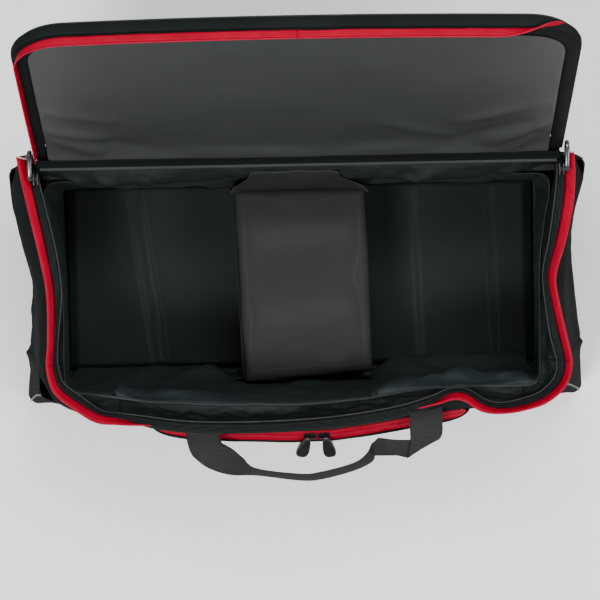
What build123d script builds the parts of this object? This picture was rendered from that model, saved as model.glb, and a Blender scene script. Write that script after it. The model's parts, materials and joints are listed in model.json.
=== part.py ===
"""Padded rectangular equipment bag: zipped lid, front pocket, webbing handle and lift-out divider.

Origin: centre of the underside. X runs along the bag to the right, Y to the back, Z up. Millimetres.
The lid stands open on its fabric hinge; its pieces are sketched on LID, whose local Y runs from the
hinge line (0) towards the lid's front edge (negative) and whose local Z points to the lid's outer side.
"""

import os
from math import cos, radians, sin

from build123d import *

# ---------------------------------------------------------------- driving dimensions
FABRIC = 1.5            # outer nylon with its backing
LINING = 1.0            # inner nylon
TAPE = 0.8              # zip tape
COIL = 2.4              # zip coil, across and high
COIL_GAP = 1.6          # between the two halves of a coil
ROOM = 0.3              # clearance between loose pieces

FOOT_Z = 2.0            # walls stand on the base panel
WALL_TOP = 250.0        # top of the padded walls
RIM_Z = 292.0           # closing line between the two halves of the main zip

# Each wall face is a straight line from its place at the floor to its place at WALL_TOP.
END_OUT = (322.0, 295.0)
END_IN = (288.0, 268.0)
FRONT_OUT = (-148.0, -128.0)
FRONT_IN = (-112.0, -104.0)
BACK_OUT = (150.0, 150.0)
BACK_IN = (126.0, 126.0)
REACH = 340.0           # further than any wall

RIM_HALF = 289.0        # half width of the zip line
RIM_FRONT = -148.0      # zip line's front edge at its middle
RIM_BOW = 10.0          # how far the front edge bows out
RIM_RADIUS = 55.0       # front corners of the zip line
TAPE_HEIGHT = 12.0      # visible half of the main zip tape

HINGE_Y = 150.0
LID_OPEN = 116.5        # angle from closed to the open rest position
LID_LEVELS = {"lining": 12.0, "foam": 13.0, "panel": 25.0, "top": 26.5}
LID_BACK = 4.0          # lid's rear edge, from the hinge line
LID_BORDER = 15.0       # facing round the lid's lining

DIVIDER_WIDTH = 155.0
DIVIDER_TOP = 150.0
DIVIDER_PAD = 12.0
DIVIDER_FRONT = -102.5
DIVIDER_BACK = 119.5
FLOOR_PAD_TOP = 27.0

POCKET_HALF = 188.0
POCKET_FOOT = 14.0
POCKET_Y = -168.0       # pocket's front face
SHOULDER_LOW = (-168.0, 226.0)
SHOULDER_HIGH = (-145.0, 246.0)
POCKET_ZIP_HALF = 175.0

WEBBING = 38.0
WEBBING_THICK = 2.5
HANDLE_X = 124.0        # centre of each handle leg
HANDLE_AXIS = (-152.7, 262.0)
HANDLE_REACH = 60.0
HANDLE_DROOP = 35.0     # degrees below level

SLIDER_LENGTH = 14.0
SLIDER_HALF = 5.6       # half of the plate's width
SLIDER_PLATE = 1.3
SLIDER_CORNER = 2.5
BAR_RADIUS = 1.0        # bridge that carries the pull
BAR_RISE = 3.6          # from the plate to the bridge's axis
RING_HOLE = 1.5
RING_OUTER = 3.0
RING_THICK = 1.8

os.makedirs("parts", exist_ok=True)


def along(line, height):
    """Where a wall face stands at a height."""
    return line[0] + (line[1] - line[0]) * height / WALL_TOP


def shifted(line, distance):
    return (line[0] + distance, line[1] + distance)


def mirrored(line):
    return (-line[0], -line[1])


def slab(low_face, high_face):
    """Corners of the upright slab between two wall faces, seen from its end."""
    return [
        (along(low_face, FOOT_Z), FOOT_Z),
        (along(high_face, FOOT_Z), FOOT_Z),
        (along(high_face, WALL_TOP), WALL_TOP),
        (along(low_face, WALL_TOP), WALL_TOP),
    ]


def finish(piece, name):
    piece.part.label = name
    export_step(piece.part, f"parts/{name}.step")


# ---------------------------------------------------------------- base
with BuildPart() as base_panel:
    with BuildSketch():
        with Locations((0, (FRONT_OUT[0] + BACK_OUT[0]) / 2)):
            Rectangle(2 * END_OUT[0], BACK_OUT[0] - FRONT_OUT[0])
    extrude(amount=FOOT_Z)
finish(base_panel, "base_panel")

BASE_LAYERS = {"base_board": (FOOT_Z, 4.5), "base_foam": (4.5, 12.0), "base_lining": (12.0, 13.0)}
BASE_INSET = 1.5
for name, (low, high) in BASE_LAYERS.items():
    with BuildPart() as base_layer:
        with BuildSketch(Plane.XY.offset(low)):
            with Locations((0, (FRONT_IN[0] + BACK_IN[0]) / 2)):
                Rectangle(2 * (END_IN[0] - BASE_INSET), BACK_IN[0] - FRONT_IN[0] - 2 * BASE_INSET)
        extrude(amount=high - low)
    finish(base_layer, name)

# Removable padded floor, a little smaller than the inside.
PAD_HALF = 280.0
PAD_FRONT = -100.0
PAD_BACK = 122.0
PAD_CORNER = 10.0
PAD_EDGE = 4.0
with BuildPart() as floor_pad:
    with BuildSketch(Plane.XY.offset(BASE_LAYERS["base_lining"][1] + ROOM)):
        with Locations((0, (PAD_FRONT + PAD_BACK) / 2)):
            RectangleRounded(2 * PAD_HALF, PAD_BACK - PAD_FRONT, PAD_CORNER)
    extrude(amount=FLOOR_PAD_TOP - BASE_LAYERS["base_lining"][1] - ROOM)
    fillet(floor_pad.edges().group_by(Axis.Z)[-1], radius=PAD_EDGE)
finish(floor_pad, "floor_pad")

# Piping round the foot of the bag.
PIPING = 2.5
PIPING_CORNER = 3.2
PIPING_GAP = 0.5
PIPING_OUT = PIPING + PIPING_GAP
PIPING_HALF = END_OUT[0] + PIPING_OUT
with BuildPart() as base_piping:
    with BuildLine(Plane.XY.offset(PIPING + ROOM)) as foot_path:
        FilletPolyline(
            (-PIPING_HALF, FRONT_OUT[0] - PIPING_OUT),
            (PIPING_HALF, FRONT_OUT[0] - PIPING_OUT),
            (PIPING_HALF, BACK_OUT[0] + PIPING_OUT),
            (-PIPING_HALF, BACK_OUT[0] + PIPING_OUT),
            close=True,
            radius=PIPING_CORNER,
        )
    with BuildSketch(foot_path.wires()[0] ^ 0):
        Circle(PIPING)
    sweep(path=foot_path.wires()[0])
finish(base_piping, "base_piping")

# ---------------------------------------------------------------- padded walls: panel, foam, lining
RIGHT_WALLS = {
    "panel": ((shifted(END_OUT, -FABRIC), END_OUT), (shifted(FRONT_OUT, FABRIC), shifted(BACK_OUT, -FABRIC))),
    "foam": (
        (shifted(END_IN, LINING), shifted(END_OUT, -FABRIC)),
        (shifted(FRONT_IN, -LINING), shifted(BACK_IN, LINING)),
    ),
    "lining": ((END_IN, shifted(END_IN, LINING)), (FRONT_IN, BACK_IN)),
}
LONG_WALLS = {
    "front_panel": (END_OUT, (FRONT_OUT, shifted(FRONT_OUT, FABRIC))),
    "front_foam": (shifted(END_OUT, -FABRIC), (shifted(FRONT_OUT, FABRIC), shifted(FRONT_IN, -LINING))),
    "front_lining": (shifted(END_IN, LINING), (shifted(FRONT_IN, -LINING), FRONT_IN)),
    "back_panel": (END_OUT, (shifted(BACK_OUT, -FABRIC), BACK_OUT)),
    "back_foam": (shifted(END_OUT, -FABRIC), (shifted(BACK_IN, LINING), shifted(BACK_OUT, -FABRIC))),
    "back_lining": (shifted(END_IN, LINING), (BACK_IN, shifted(BACK_IN, LINING))),
}
walls = {}
for name, (half, y_faces) in LONG_WALLS.items():
    walls[name] = ((mirrored(half), half), y_faces)
for layer, ((inner, outer), y_faces) in RIGHT_WALLS.items():
    walls[f"right_{layer}"] = ((inner, outer), y_faces)
    walls[f"left_{layer}"] = ((mirrored(outer), mirrored(inner)), y_faces)

for name, (x_faces, y_faces) in walls.items():
    with BuildPart() as wall:
        with BuildSketch(Plane.XZ):
            with BuildLine():
                Polyline(*slab(*x_faces), close=True)
            make_face()
        extrude(amount=REACH, both=True)
        with BuildSketch(Plane.YZ):
            with BuildLine():
                Polyline(*slab(*y_faces), close=True)
            make_face()
        extrude(amount=REACH, both=True, mode=Mode.INTERSECT)
    finish(wall, name)

# ---------------------------------------------------------------- rim: unpadded band and main zip
def rim_outline(inset, back, origin_y=0.0):
    """The zip line seen from above, pulled in by inset and closed by a straight edge at back."""
    corner_y = RIM_FRONT + RIM_BOW
    with BuildSketch(mode=Mode.PRIVATE) as outline:
        with BuildLine():
            Polyline((RIM_HALF, corner_y), (RIM_HALF, REACH), (-RIM_HALF, REACH), (-RIM_HALF, corner_y))
            ThreePointArc((-RIM_HALF, corner_y), (0, RIM_FRONT), (RIM_HALF, corner_y))
        make_face()
        fillet(outline.vertices().group_by(Axis.Y)[0], radius=RIM_RADIUS)
        offset(amount=-inset)
        with Locations((0, back + REACH)):
            Rectangle(3 * REACH, 2 * REACH, mode=Mode.SUBTRACT)
    return Pos(0, -origin_y) * outline.sketch


WALL_RADIUS = 30.0


def wall_outline(inset, back):
    """The padded walls' top seen from above, with rounded front corners."""
    half = END_OUT[1] - inset
    front = FRONT_OUT[1] + inset
    with BuildSketch(mode=Mode.PRIVATE) as outline:
        with Locations((0, (front + back) / 2)):
            Rectangle(2 * half, back - front)
        fillet(outline.vertices().group_by(Axis.Y)[0], radius=WALL_RADIUS - inset)
    return outline.sketch


TAPE_FOOT = RIM_Z - COIL_GAP / 2 - COIL - TAPE_HEIGHT
BAND_OUTER = 1.2
BAND_LAYERS = {"zip_band": (0.0, BAND_OUTER), "zip_band_facing": (BAND_OUTER, BAND_OUTER + TAPE)}
for name, (outer, inner) in BAND_LAYERS.items():
    with BuildPart() as band:
        with BuildSketch(Plane.XY.offset(WALL_TOP)):
            add(wall_outline(outer, HINGE_Y))
        with BuildSketch(Plane.XY.offset(TAPE_FOOT)):
            add(rim_outline(outer - TAPE / 2, HINGE_Y))
        loft(ruled=True)
        with BuildSketch(Plane.XY.offset(WALL_TOP)):
            add(wall_outline(inner, REACH))
        with BuildSketch(Plane.XY.offset(TAPE_FOOT)):
            add(rim_outline(inner - TAPE / 2, REACH))
        loft(ruled=True, mode=Mode.SUBTRACT)
    finish(band, name)

with BuildPart() as main_zip_tape:
    with BuildSketch(Plane.XY.offset(TAPE_FOOT)):
        add(rim_outline(-TAPE / 2, HINGE_Y))
        add(rim_outline(TAPE / 2, REACH), mode=Mode.SUBTRACT)
    extrude(amount=TAPE_HEIGHT)
finish(main_zip_tape, "main_zip_tape")

with BuildPart() as main_zip_coil:
    with BuildSketch(Plane.XY.offset(TAPE_FOOT + TAPE_HEIGHT)):
        add(rim_outline(-COIL / 2, HINGE_Y))
        add(rim_outline(COIL / 2, REACH), mode=Mode.SUBTRACT)
    extrude(amount=COIL)
finish(main_zip_coil, "main_zip_coil")

# Fabric that carries the hinge line along the back, and the piping bead on it.
BACK_BAND_HALF = 284.0
BACK_BAND_TOP = RIM_Z - PIPING
with BuildPart() as back_band:
    with BuildSketch(Plane.XY.offset(WALL_TOP)):
        with Locations((0, BACK_OUT[1] - FABRIC / 2)):
            Rectangle(2 * BACK_BAND_HALF, FABRIC)
    extrude(amount=BACK_BAND_TOP - WALL_TOP)
finish(back_band, "back_band")

with BuildPart() as hinge_piping:
    with BuildSketch(Plane.YZ):
        with Locations((HINGE_Y, RIM_Z)):
            Circle(PIPING)
    extrude(amount=BACK_BAND_HALF, both=True)
finish(hinge_piping, "hinge_piping")

# Binding that closes the padded walls' top edge.
BINDING_INSET = 4.0
with BuildPart() as wall_top_binding:
    with BuildSketch(Plane.XY.offset(WALL_TOP)):
        add(wall_outline(BINDING_INSET, BACK_OUT[1] - BINDING_INSET))
        with Locations((0, (FRONT_IN[1] + BACK_IN[1]) / 2)):
            Rectangle(2 * END_IN[1], BACK_IN[1] - FRONT_IN[1], mode=Mode.SUBTRACT)
    extrude(amount=FABRIC)
finish(wall_top_binding, "wall_top_binding")

# ---------------------------------------------------------------- lid
LID_NORMAL = (0, sin(radians(LID_OPEN)), cos(radians(LID_OPEN)))
LID = Plane(origin=(0, HINGE_Y, RIM_Z), x_dir=(1, 0, 0), z_dir=LID_NORMAL)
LID_EDGE = -1.0         # lid's fabric stands this far outside the zip line, as a negative inset
BINDING = 1.5


def lid_outline(inset, back):
    return rim_outline(inset, HINGE_Y - back, HINGE_Y)


with BuildPart() as lid_panel:
    with BuildSketch(LID.offset(LID_LEVELS["panel"])):
        add(lid_outline(LID_EDGE, LID_BACK))
    extrude(amount=LID_LEVELS["top"] - LID_LEVELS["panel"])
finish(lid_panel, "lid_panel")

with BuildPart() as lid_foam:
    with BuildSketch(LID.offset(LID_LEVELS["foam"])):
        add(lid_outline(LID_EDGE + BINDING, LID_BACK + BINDING))
    extrude(amount=LID_LEVELS["panel"] - LID_LEVELS["foam"])
finish(lid_foam, "lid_foam")

with BuildPart() as lid_binding:
    with BuildSketch(LID.offset(LID_LEVELS["lining"])):
        add(lid_outline(LID_EDGE, LID_BACK))
        add(lid_outline(LID_EDGE + BINDING, LID_BACK + BINDING), mode=Mode.SUBTRACT)
    extrude(amount=LID_LEVELS["panel"] - LID_LEVELS["lining"])
finish(lid_binding, "lid_binding")

with BuildPart() as lid_border:
    with BuildSketch(LID.offset(LID_LEVELS["lining"])):
        add(lid_outline(LID_EDGE + BINDING, LID_BACK + BINDING))
        add(lid_outline(LID_BORDER, LID_BACK + LID_BORDER), mode=Mode.SUBTRACT)
    extrude(amount=LINING)
finish(lid_border, "lid_border")

with BuildPart() as lid_lining:
    with BuildSketch(LID.offset(LID_LEVELS["lining"])):
        add(lid_outline(LID_BORDER, LID_BACK + LID_BORDER))
    extrude(amount=LINING)
finish(lid_lining, "lid_lining")

LID_TAPE_BACK = 15.0
LID_COIL_BACK = 22.0
with BuildPart() as lid_zip_tape:
    with BuildSketch(LID.offset(COIL_GAP / 2 + COIL)):
        add(lid_outline(-TAPE / 2, LID_TAPE_BACK))
        add(lid_outline(TAPE / 2, -REACH), mode=Mode.SUBTRACT)
    extrude(amount=LID_LEVELS["lining"] - COIL_GAP / 2 - COIL)
finish(lid_zip_tape, "lid_zip_tape")

with BuildPart() as lid_zip_coil:
    with BuildSketch(LID.offset(COIL_GAP / 2)):
        add(lid_outline(-COIL / 2, LID_COIL_BACK))
        add(lid_outline(COIL / 2, -REACH), mode=Mode.SUBTRACT)
    extrude(amount=COIL)
finish(lid_zip_coil, "lid_zip_coil")

# ---------------------------------------------------------------- front pocket
def front_wall_y(height):
    return along(FRONT_OUT, height)


with BuildPart() as pocket_panel:
    with BuildSketch(Plane.YZ):
        with BuildLine():
            Polyline(
                (front_wall_y(POCKET_FOOT), POCKET_FOOT),
                (POCKET_Y, POCKET_FOOT),
                SHOULDER_LOW,
                (SHOULDER_LOW[0] + FABRIC, SHOULDER_LOW[1]),
                (POCKET_Y + FABRIC, POCKET_FOOT + FABRIC),
                (front_wall_y(POCKET_FOOT + FABRIC), POCKET_FOOT + FABRIC),
                close=True,
            )
        make_face()
    extrude(amount=POCKET_HALF, both=True)
finish(pocket_panel, "pocket_panel")

POCKET_CROWN = WALL_TOP - 1.0
with BuildPart() as pocket_gussets:
    for side in (-1, 1):
        with BuildSketch(Plane.YZ.offset(side * (POCKET_HALF - FABRIC / 2))):
            with BuildLine():
                Polyline(
                    (front_wall_y(POCKET_FOOT + FABRIC), POCKET_FOOT + FABRIC),
                    (POCKET_Y + FABRIC, POCKET_FOOT + FABRIC),
                    (SHOULDER_LOW[0] + FABRIC, SHOULDER_LOW[1]),
                    (SHOULDER_HIGH[0] + FABRIC, SHOULDER_HIGH[1] - FABRIC),
                    (front_wall_y(POCKET_CROWN - FABRIC), POCKET_CROWN - FABRIC),
                    close=True,
                )
            make_face()
        extrude(amount=FABRIC / 2, both=True)
finish(pocket_gussets, "pocket_gussets")

with BuildPart() as pocket_top_strip:
    with BuildSketch(Plane.YZ):
        with BuildLine():
            Polyline(
                (SHOULDER_HIGH[0] + FABRIC, SHOULDER_HIGH[1] - FABRIC),
                SHOULDER_HIGH,
                (front_wall_y(POCKET_CROWN), POCKET_CROWN),
                (front_wall_y(POCKET_CROWN - FABRIC), POCKET_CROWN - FABRIC),
                close=True,
            )
        make_face()
    extrude(amount=POCKET_HALF, both=True)
finish(pocket_top_strip, "pocket_top_strip")

# The pocket's zip lies on the sloping shoulder; local Y of this plane runs up the slope.
SHOULDER_MID = ((SHOULDER_LOW[0] + SHOULDER_HIGH[0]) / 2, (SHOULDER_LOW[1] + SHOULDER_HIGH[1]) / 2)
SHOULDER_RUN = (SHOULDER_HIGH[0] - SHOULDER_LOW[0], SHOULDER_HIGH[1] - SHOULDER_LOW[1])
SHOULDER = Plane(
    origin=(0, *SHOULDER_MID), x_dir=(1, 0, 0), z_dir=(0, -SHOULDER_RUN[1], SHOULDER_RUN[0])
)
ZIP_HALF = (SHOULDER_RUN[0] ** 2 + SHOULDER_RUN[1] ** 2) ** 0.5 / 2 - FABRIC
COIL_INNER = COIL_GAP / 2
COIL_OUTER = COIL_INNER + COIL

for name, side in (("pocket_zip_lower_tape", -1), ("pocket_zip_upper_tape", 1)):
    with BuildPart() as pocket_tape:
        with BuildSketch(SHOULDER.offset(-TAPE / 2)):
            with Locations((0, side * (COIL_OUTER + ZIP_HALF) / 2)):
                Rectangle(2 * POCKET_HALF, ZIP_HALF - COIL_OUTER)
        extrude(amount=TAPE)
    finish(pocket_tape, name)

with BuildPart() as pocket_zip_coil:
    with BuildSketch(SHOULDER.offset(-COIL / 2)):
        with GridLocations(0, COIL_INNER + COIL_OUTER, 1, 2):
            Rectangle(2 * POCKET_ZIP_HALF, COIL)
    extrude(amount=COIL)
finish(pocket_zip_coil, "pocket_zip_coil")

STOP_LENGTH = 4.0
with BuildPart() as pocket_zip_stops:
    with BuildSketch(SHOULDER.offset(-COIL / 2)):
        with GridLocations(2 * POCKET_ZIP_HALF + STOP_LENGTH, 0, 2, 1):
            Rectangle(STOP_LENGTH, 2 * COIL_OUTER)
    extrude(amount=COIL)
finish(pocket_zip_stops, "pocket_zip_stops")

# ---------------------------------------------------------------- handle
TAB_BACK_GAP = 0.8
TAB_END_GAP = 1.6


def rim_front_y(x, height):
    """Outer face of the front band at a place along the bag and a height."""
    bow = RIM_BOW * (x / RIM_HALF) ** 2
    share = (height - WALL_TOP) / (TAPE_FOOT - WALL_TOP)
    return FRONT_OUT[1] + (RIM_FRONT + bow - FRONT_OUT[1]) * share


TAB_BACK = rim_front_y(HANDLE_X, HANDLE_AXIS[1] + WEBBING_THICK / 2) - TAB_BACK_GAP
with BuildPart() as handle_anchor_tabs:
    with BuildSketch(Plane.XY.offset(HANDLE_AXIS[1] - WEBBING_THICK / 2)):
        with Locations((0, (TAB_BACK + HANDLE_AXIS[0] + TAB_END_GAP) / 2)):
            with GridLocations(2 * HANDLE_X, 0, 2, 1):
                Rectangle(WEBBING, TAB_BACK - HANDLE_AXIS[0] - TAB_END_GAP)
    extrude(amount=WEBBING_THICK)
finish(handle_anchor_tabs, "handle_anchor_tabs")

DROOP = radians(HANDLE_DROOP)
HANDLE_PLANE = Plane(
    origin=(0, *HANDLE_AXIS), x_dir=(1, 0, 0), z_dir=(0, -sin(DROOP), cos(DROOP))
)
GRIP_Y = HANDLE_AXIS[0] - HANDLE_REACH * cos(DROOP)
GRIP_Z = HANDLE_AXIS[1] - HANDLE_REACH * sin(DROOP)
BAND_THICK = 3.5        # webbing of the grip, folded double
BAND_EDGE = 1.0
with BuildPart() as handle:
    with BuildSketch(HANDLE_PLANE.offset(-WEBBING_THICK / 2)):
        with Locations((0, -(TAB_END_GAP + HANDLE_REACH) / 2)):
            with GridLocations(2 * HANDLE_X, 0, 2, 1):
                Rectangle(WEBBING, HANDLE_REACH - TAB_END_GAP)
    extrude(amount=WEBBING_THICK)
    with BuildSketch(Plane.YZ.offset(-HANDLE_X - WEBBING / 2)):
        with Locations((GRIP_Y, GRIP_Z)):
            RectangleRounded(BAND_THICK, WEBBING, BAND_EDGE)
    extrude(amount=2 * HANDLE_X + WEBBING)
finish(handle, "handle")

# ---------------------------------------------------------------- zip sliders and pulls
GRIP_LENGTH = 23.0
GRIP_WIDTH = 13.0
GRIP_THICK = 4.0
GRIP_CORNER = 4.0
GRIP_OVERLAP = 1.0      # of the grip over its neck
NECK_LENGTH = 7.0
NECK_WIDTH = 3.0
COIL_ROOM = 0.4
PLATE_LOW = COIL / 2 + COIL_ROOM
PLATE_TOP = PLATE_LOW + SLIDER_PLATE
BAR_HEIGHT = PLATE_TOP + BAR_RISE
POST_THICK = 1.1
BAR_SPAN = 9.0


def slider_body(name, plane, bar_dir):
    """Two plates joined by a thin post between the coil halves, with a bridge bar on the outer plate.

    The plane's local X runs along the zip and its local Z points away from the bag. The bridge bar lies
    along bar_dir, in the plane of the plates.
    """
    with BuildPart() as slider:
        for low in (PLATE_LOW, -PLATE_TOP):
            with BuildSketch(plane.offset(low)):
                RectangleRounded(SLIDER_LENGTH, 2 * SLIDER_HALF, SLIDER_CORNER)
            extrude(amount=SLIDER_PLATE)
        with BuildSketch(plane.offset(-PLATE_LOW)):
            Rectangle(SLIDER_LENGTH / 3, POST_THICK)
        extrude(amount=2 * PLATE_LOW)
        bridge = Plane(origin=plane.origin, x_dir=bar_dir, z_dir=plane.z_dir)
        with BuildSketch(bridge.offset(PLATE_TOP)):
            with GridLocations(BAR_SPAN, 0, 2, 1):
                Rectangle(2 * BAR_RADIUS, 2 * BAR_RADIUS)
        extrude(amount=BAR_RISE)
        bar_middle = bridge.from_local_coords((0, 0, BAR_HEIGHT))
        with BuildSketch(Plane(origin=bar_middle, x_dir=bridge.y_dir, z_dir=bar_dir)):
            Circle(BAR_RADIUS)
        extrude(amount=BAR_SPAN / 2 + BAR_RADIUS, both=True)
    finish(slider, name)


def pull(name, plane, splay):
    """A moulded grip on a short neck that ends in a ring round the slider's bridge.

    The plane's origin is on the bridge's axis, which runs along its local X. The pull lies in the plane,
    along local -Y, turned by splay.
    """
    ring_plane = Plane(origin=plane.origin, x_dir=plane.y_dir, z_dir=plane.x_dir)
    with BuildPart() as zip_pull:
        with BuildSketch(ring_plane.offset(-RING_THICK / 2)):
            Circle(RING_OUTER)
            Circle(RING_HOLE, mode=Mode.SUBTRACT)
        extrude(amount=RING_THICK)
        turned = plane.rotated((0, 0, splay))
        neck_start = (RING_OUTER + RING_HOLE) / 2
        with BuildSketch(turned.offset(-RING_THICK / 2)):
            with Locations((0, -(neck_start + NECK_LENGTH / 2))):
                Rectangle(NECK_WIDTH, NECK_LENGTH)
        extrude(amount=RING_THICK)
        with BuildSketch(turned.offset(-GRIP_THICK / 2)):
            with Locations((0, -(neck_start + NECK_LENGTH + GRIP_LENGTH / 2 - GRIP_OVERLAP))):
                RectangleRounded(GRIP_WIDTH, GRIP_LENGTH, GRIP_CORNER)
        extrude(amount=GRIP_THICK)
    finish(zip_pull, name)


# The pocket's sliders meet a little right of the middle. For each: its place along the zip, the pull's
# place on its bridge, and the pull's splay in degrees.
POCKET_SLIDERS = {"left": (7.0, -2.5, -20.0), "right": (22.8, 2.5, 13.0)}


def on_shoulder(x, height):
    place = SHOULDER.from_local_coords((x, 0, height))
    return Plane(origin=place, x_dir=SHOULDER.x_dir, z_dir=SHOULDER.z_dir)


for name, (rest, ring_x, splay) in POCKET_SLIDERS.items():
    slider_body(f"pocket_slider_{name}", on_shoulder(rest, 0), SHOULDER.x_dir)
    pull(f"pocket_pull_{name}", on_shoulder(rest + ring_x, BAR_HEIGHT), splay)

MAIN_SLIDER_Y = 139.0
for name, side in (("left", -1), ("right", 1)):
    # The bridge stands upright, and the pull trails towards the back.
    place = Plane(origin=(side * RIM_HALF, MAIN_SLIDER_Y, RIM_Z), x_dir=(0, -side, 0), z_dir=(side, 0, 0))
    slider_body(f"main_slider_{name}", place, (0, 0, side))
    trailing = Plane(origin=place.origin, x_dir=(0, 0, side), z_dir=(side, 0, 0))
    pull(f"main_pull_{name}", trailing.offset(BAR_HEIGHT), 0)

# ---------------------------------------------------------------- divider
LEG_FOOT = FLOOR_PAD_TOP + ROOM
DIVIDER_DEPTH = DIVIDER_BACK - DIVIDER_FRONT
DIVIDER_MID_Y = (DIVIDER_BACK + DIVIDER_FRONT) / 2
LEG_X = (DIVIDER_WIDTH - DIVIDER_PAD) / 2
LEG_TOP = DIVIDER_TOP - DIVIDER_PAD
DIVIDER_EDGE = 3.0

with BuildPart() as divider_top_pad:
    with BuildSketch(Plane.XY.offset(LEG_TOP)):
        with Locations((0, DIVIDER_MID_Y)):
            Rectangle(DIVIDER_WIDTH, DIVIDER_DEPTH)
    extrude(amount=DIVIDER_PAD)
    fillet(divider_top_pad.edges().group_by(Axis.Z)[-1], radius=DIVIDER_EDGE)
finish(divider_top_pad, "divider_top_pad")

for name, side in (("left", -1), ("right", 1)):
    with BuildPart() as divider_leg:
        with BuildSketch(Plane.XY.offset(LEG_FOOT)):
            with Locations((side * LEG_X, DIVIDER_MID_Y)):
                Rectangle(DIVIDER_PAD, DIVIDER_DEPTH)
        extrude(amount=LEG_TOP - LEG_FOOT)
    finish(divider_leg, f"divider_leg_{name}")

HOOK_THICK = 1.2
HOOK_MARGIN = 8.0
with BuildPart() as divider_hook_strips:
    with BuildSketch(Plane.XY.offset(LEG_FOOT + HOOK_MARGIN)):
        with Locations((0, DIVIDER_MID_Y)):
            with GridLocations(2 * LEG_X, DIVIDER_DEPTH + HOOK_THICK, 2, 2):
                Rectangle(DIVIDER_PAD, HOOK_THICK)
    extrude(amount=LEG_TOP - LEG_FOOT - 2 * HOOK_MARGIN)
finish(divider_hook_strips, "divider_hook_strips")

# Flap that rises from the divider's rear edge, lies up the back wall and over its top.
FLAP_HALF = 45.0
FLAP_THICK = 2.0
FLAP_GAP = 2.5          # from the back wall's lining to the flap's middle
FLAP_OVER = 9.0         # height of the flap's end over the wall, and its place in from the back
FLAP_LINE = [
    (DIVIDER_BACK + FLAP_THICK / 2, LEG_TOP + DIVIDER_PAD / 3),
    (BACK_IN[0] - FLAP_GAP, DIVIDER_TOP + DIVIDER_PAD / 2),
    (BACK_IN[0] - FLAP_GAP, WALL_TOP + FLAP_OVER / 3),
    (BACK_OUT[0] - FLAP_OVER, WALL_TOP + FLAP_OVER),
]
with BuildPart() as divider_back_flap:
    with BuildSketch(Plane.YZ):
        with BuildLine():
            Polyline(*FLAP_LINE)
        trace(line_width=FLAP_THICK)
    extrude(amount=FLAP_HALF, both=True)
finish(divider_back_flap, "divider_back_flap")
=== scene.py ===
"""Looks of the padded equipment bag: soft shell, loose zip band, padded lining, lid, divider, pocket and handle.

Metres, in the row's frame: X along the bag, Y to the back, Z up. Every soft piece is built here from
the CAD boxes; rigid CAD pieces stay and get a material. Tables of places and creases are in millimetres.
"""

import json
import math

import bmesh
import bpy
import numpy as np
from mathutils import Matrix, Vector, noise


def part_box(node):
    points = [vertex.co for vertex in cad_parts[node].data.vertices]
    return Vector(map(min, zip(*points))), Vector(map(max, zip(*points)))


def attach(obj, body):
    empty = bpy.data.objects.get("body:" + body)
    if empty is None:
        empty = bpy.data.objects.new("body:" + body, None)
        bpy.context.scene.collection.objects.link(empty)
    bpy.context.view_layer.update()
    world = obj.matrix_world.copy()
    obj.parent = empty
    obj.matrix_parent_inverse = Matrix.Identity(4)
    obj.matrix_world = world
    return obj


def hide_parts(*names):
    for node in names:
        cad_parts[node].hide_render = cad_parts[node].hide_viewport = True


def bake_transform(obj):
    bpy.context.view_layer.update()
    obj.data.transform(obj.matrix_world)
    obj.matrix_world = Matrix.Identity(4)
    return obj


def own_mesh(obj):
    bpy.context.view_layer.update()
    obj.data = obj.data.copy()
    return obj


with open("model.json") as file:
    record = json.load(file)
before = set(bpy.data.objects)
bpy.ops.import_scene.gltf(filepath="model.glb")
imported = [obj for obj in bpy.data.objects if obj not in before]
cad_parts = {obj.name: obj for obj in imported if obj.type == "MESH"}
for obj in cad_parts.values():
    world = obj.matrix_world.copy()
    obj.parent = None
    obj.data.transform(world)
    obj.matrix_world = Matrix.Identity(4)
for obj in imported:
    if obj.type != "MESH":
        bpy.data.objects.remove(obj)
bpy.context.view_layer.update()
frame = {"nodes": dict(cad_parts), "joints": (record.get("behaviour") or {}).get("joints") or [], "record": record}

scene = bpy.context.scene
MM = 0.001
UP = np.array([0.0, 0.0, 1.0])
SIDES = ["left", "front", "right", "back"]


def joint(key, value):
    return next(j for j in frame["joints"] if j[key] == value)


# ---------------------------------------------------------------- places, from the CAD boxes
BASE_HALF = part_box("base_panel")[1].x
BASE_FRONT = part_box("base_panel")[0].y
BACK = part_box("back_panel")[1].y
WALL_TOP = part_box("back_panel")[1].z
TOP_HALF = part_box("zip_band")[1].x
TOP_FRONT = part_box("front_panel")[1].y - 1.5 * MM
IN_HALF_LOW = -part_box("left_lining")[0].x - 1 * MM
IN_HALF_TOP = -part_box("left_lining")[1].x
IN_FRONT_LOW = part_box("front_lining")[0].y + 1 * MM
IN_FRONT_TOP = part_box("front_lining")[1].y
IN_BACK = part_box("back_lining")[0].y
FLOOR_LOW, FLOOR_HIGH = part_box("floor_pad")
RIM_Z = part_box("hinge_piping")[0].z + 2.5 * MM
HINGE_Y = (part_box("hinge_piping")[0].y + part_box("hinge_piping")[1].y) / 2
LID_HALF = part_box("lid_panel")[1].x
LID_OPEN = math.radians(joint("name", "lid_hinge")["range_deg"][1])
LID_RUN = np.array([0, -math.cos(LID_OPEN), math.sin(LID_OPEN)])     # from the hinge to the lid's front edge
LID_OUT = np.array([0, math.sin(LID_OPEN), math.cos(LID_OPEN)])      # to the lid's outer side
LID_AXIS = np.array([0, HINGE_Y, RIM_Z])
TAPE_WIDTH = 13 * MM
TOOTH_PITCH = 1.9 * MM
STITCH_PITCH = 3 * MM


def lid_point(x, run, out):
    return LID_AXIS + np.array([x, 0, 0]) + LID_RUN * run + LID_OUT * out


# ---------------------------------------------------------------- small tools
def mix(a, b, t):
    return a + (b - a) * t


def hump(t):
    """Half a sine wave: 0 at t = 0 and t = 1, and 1 between them."""
    return np.sin(np.pi * t)


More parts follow.
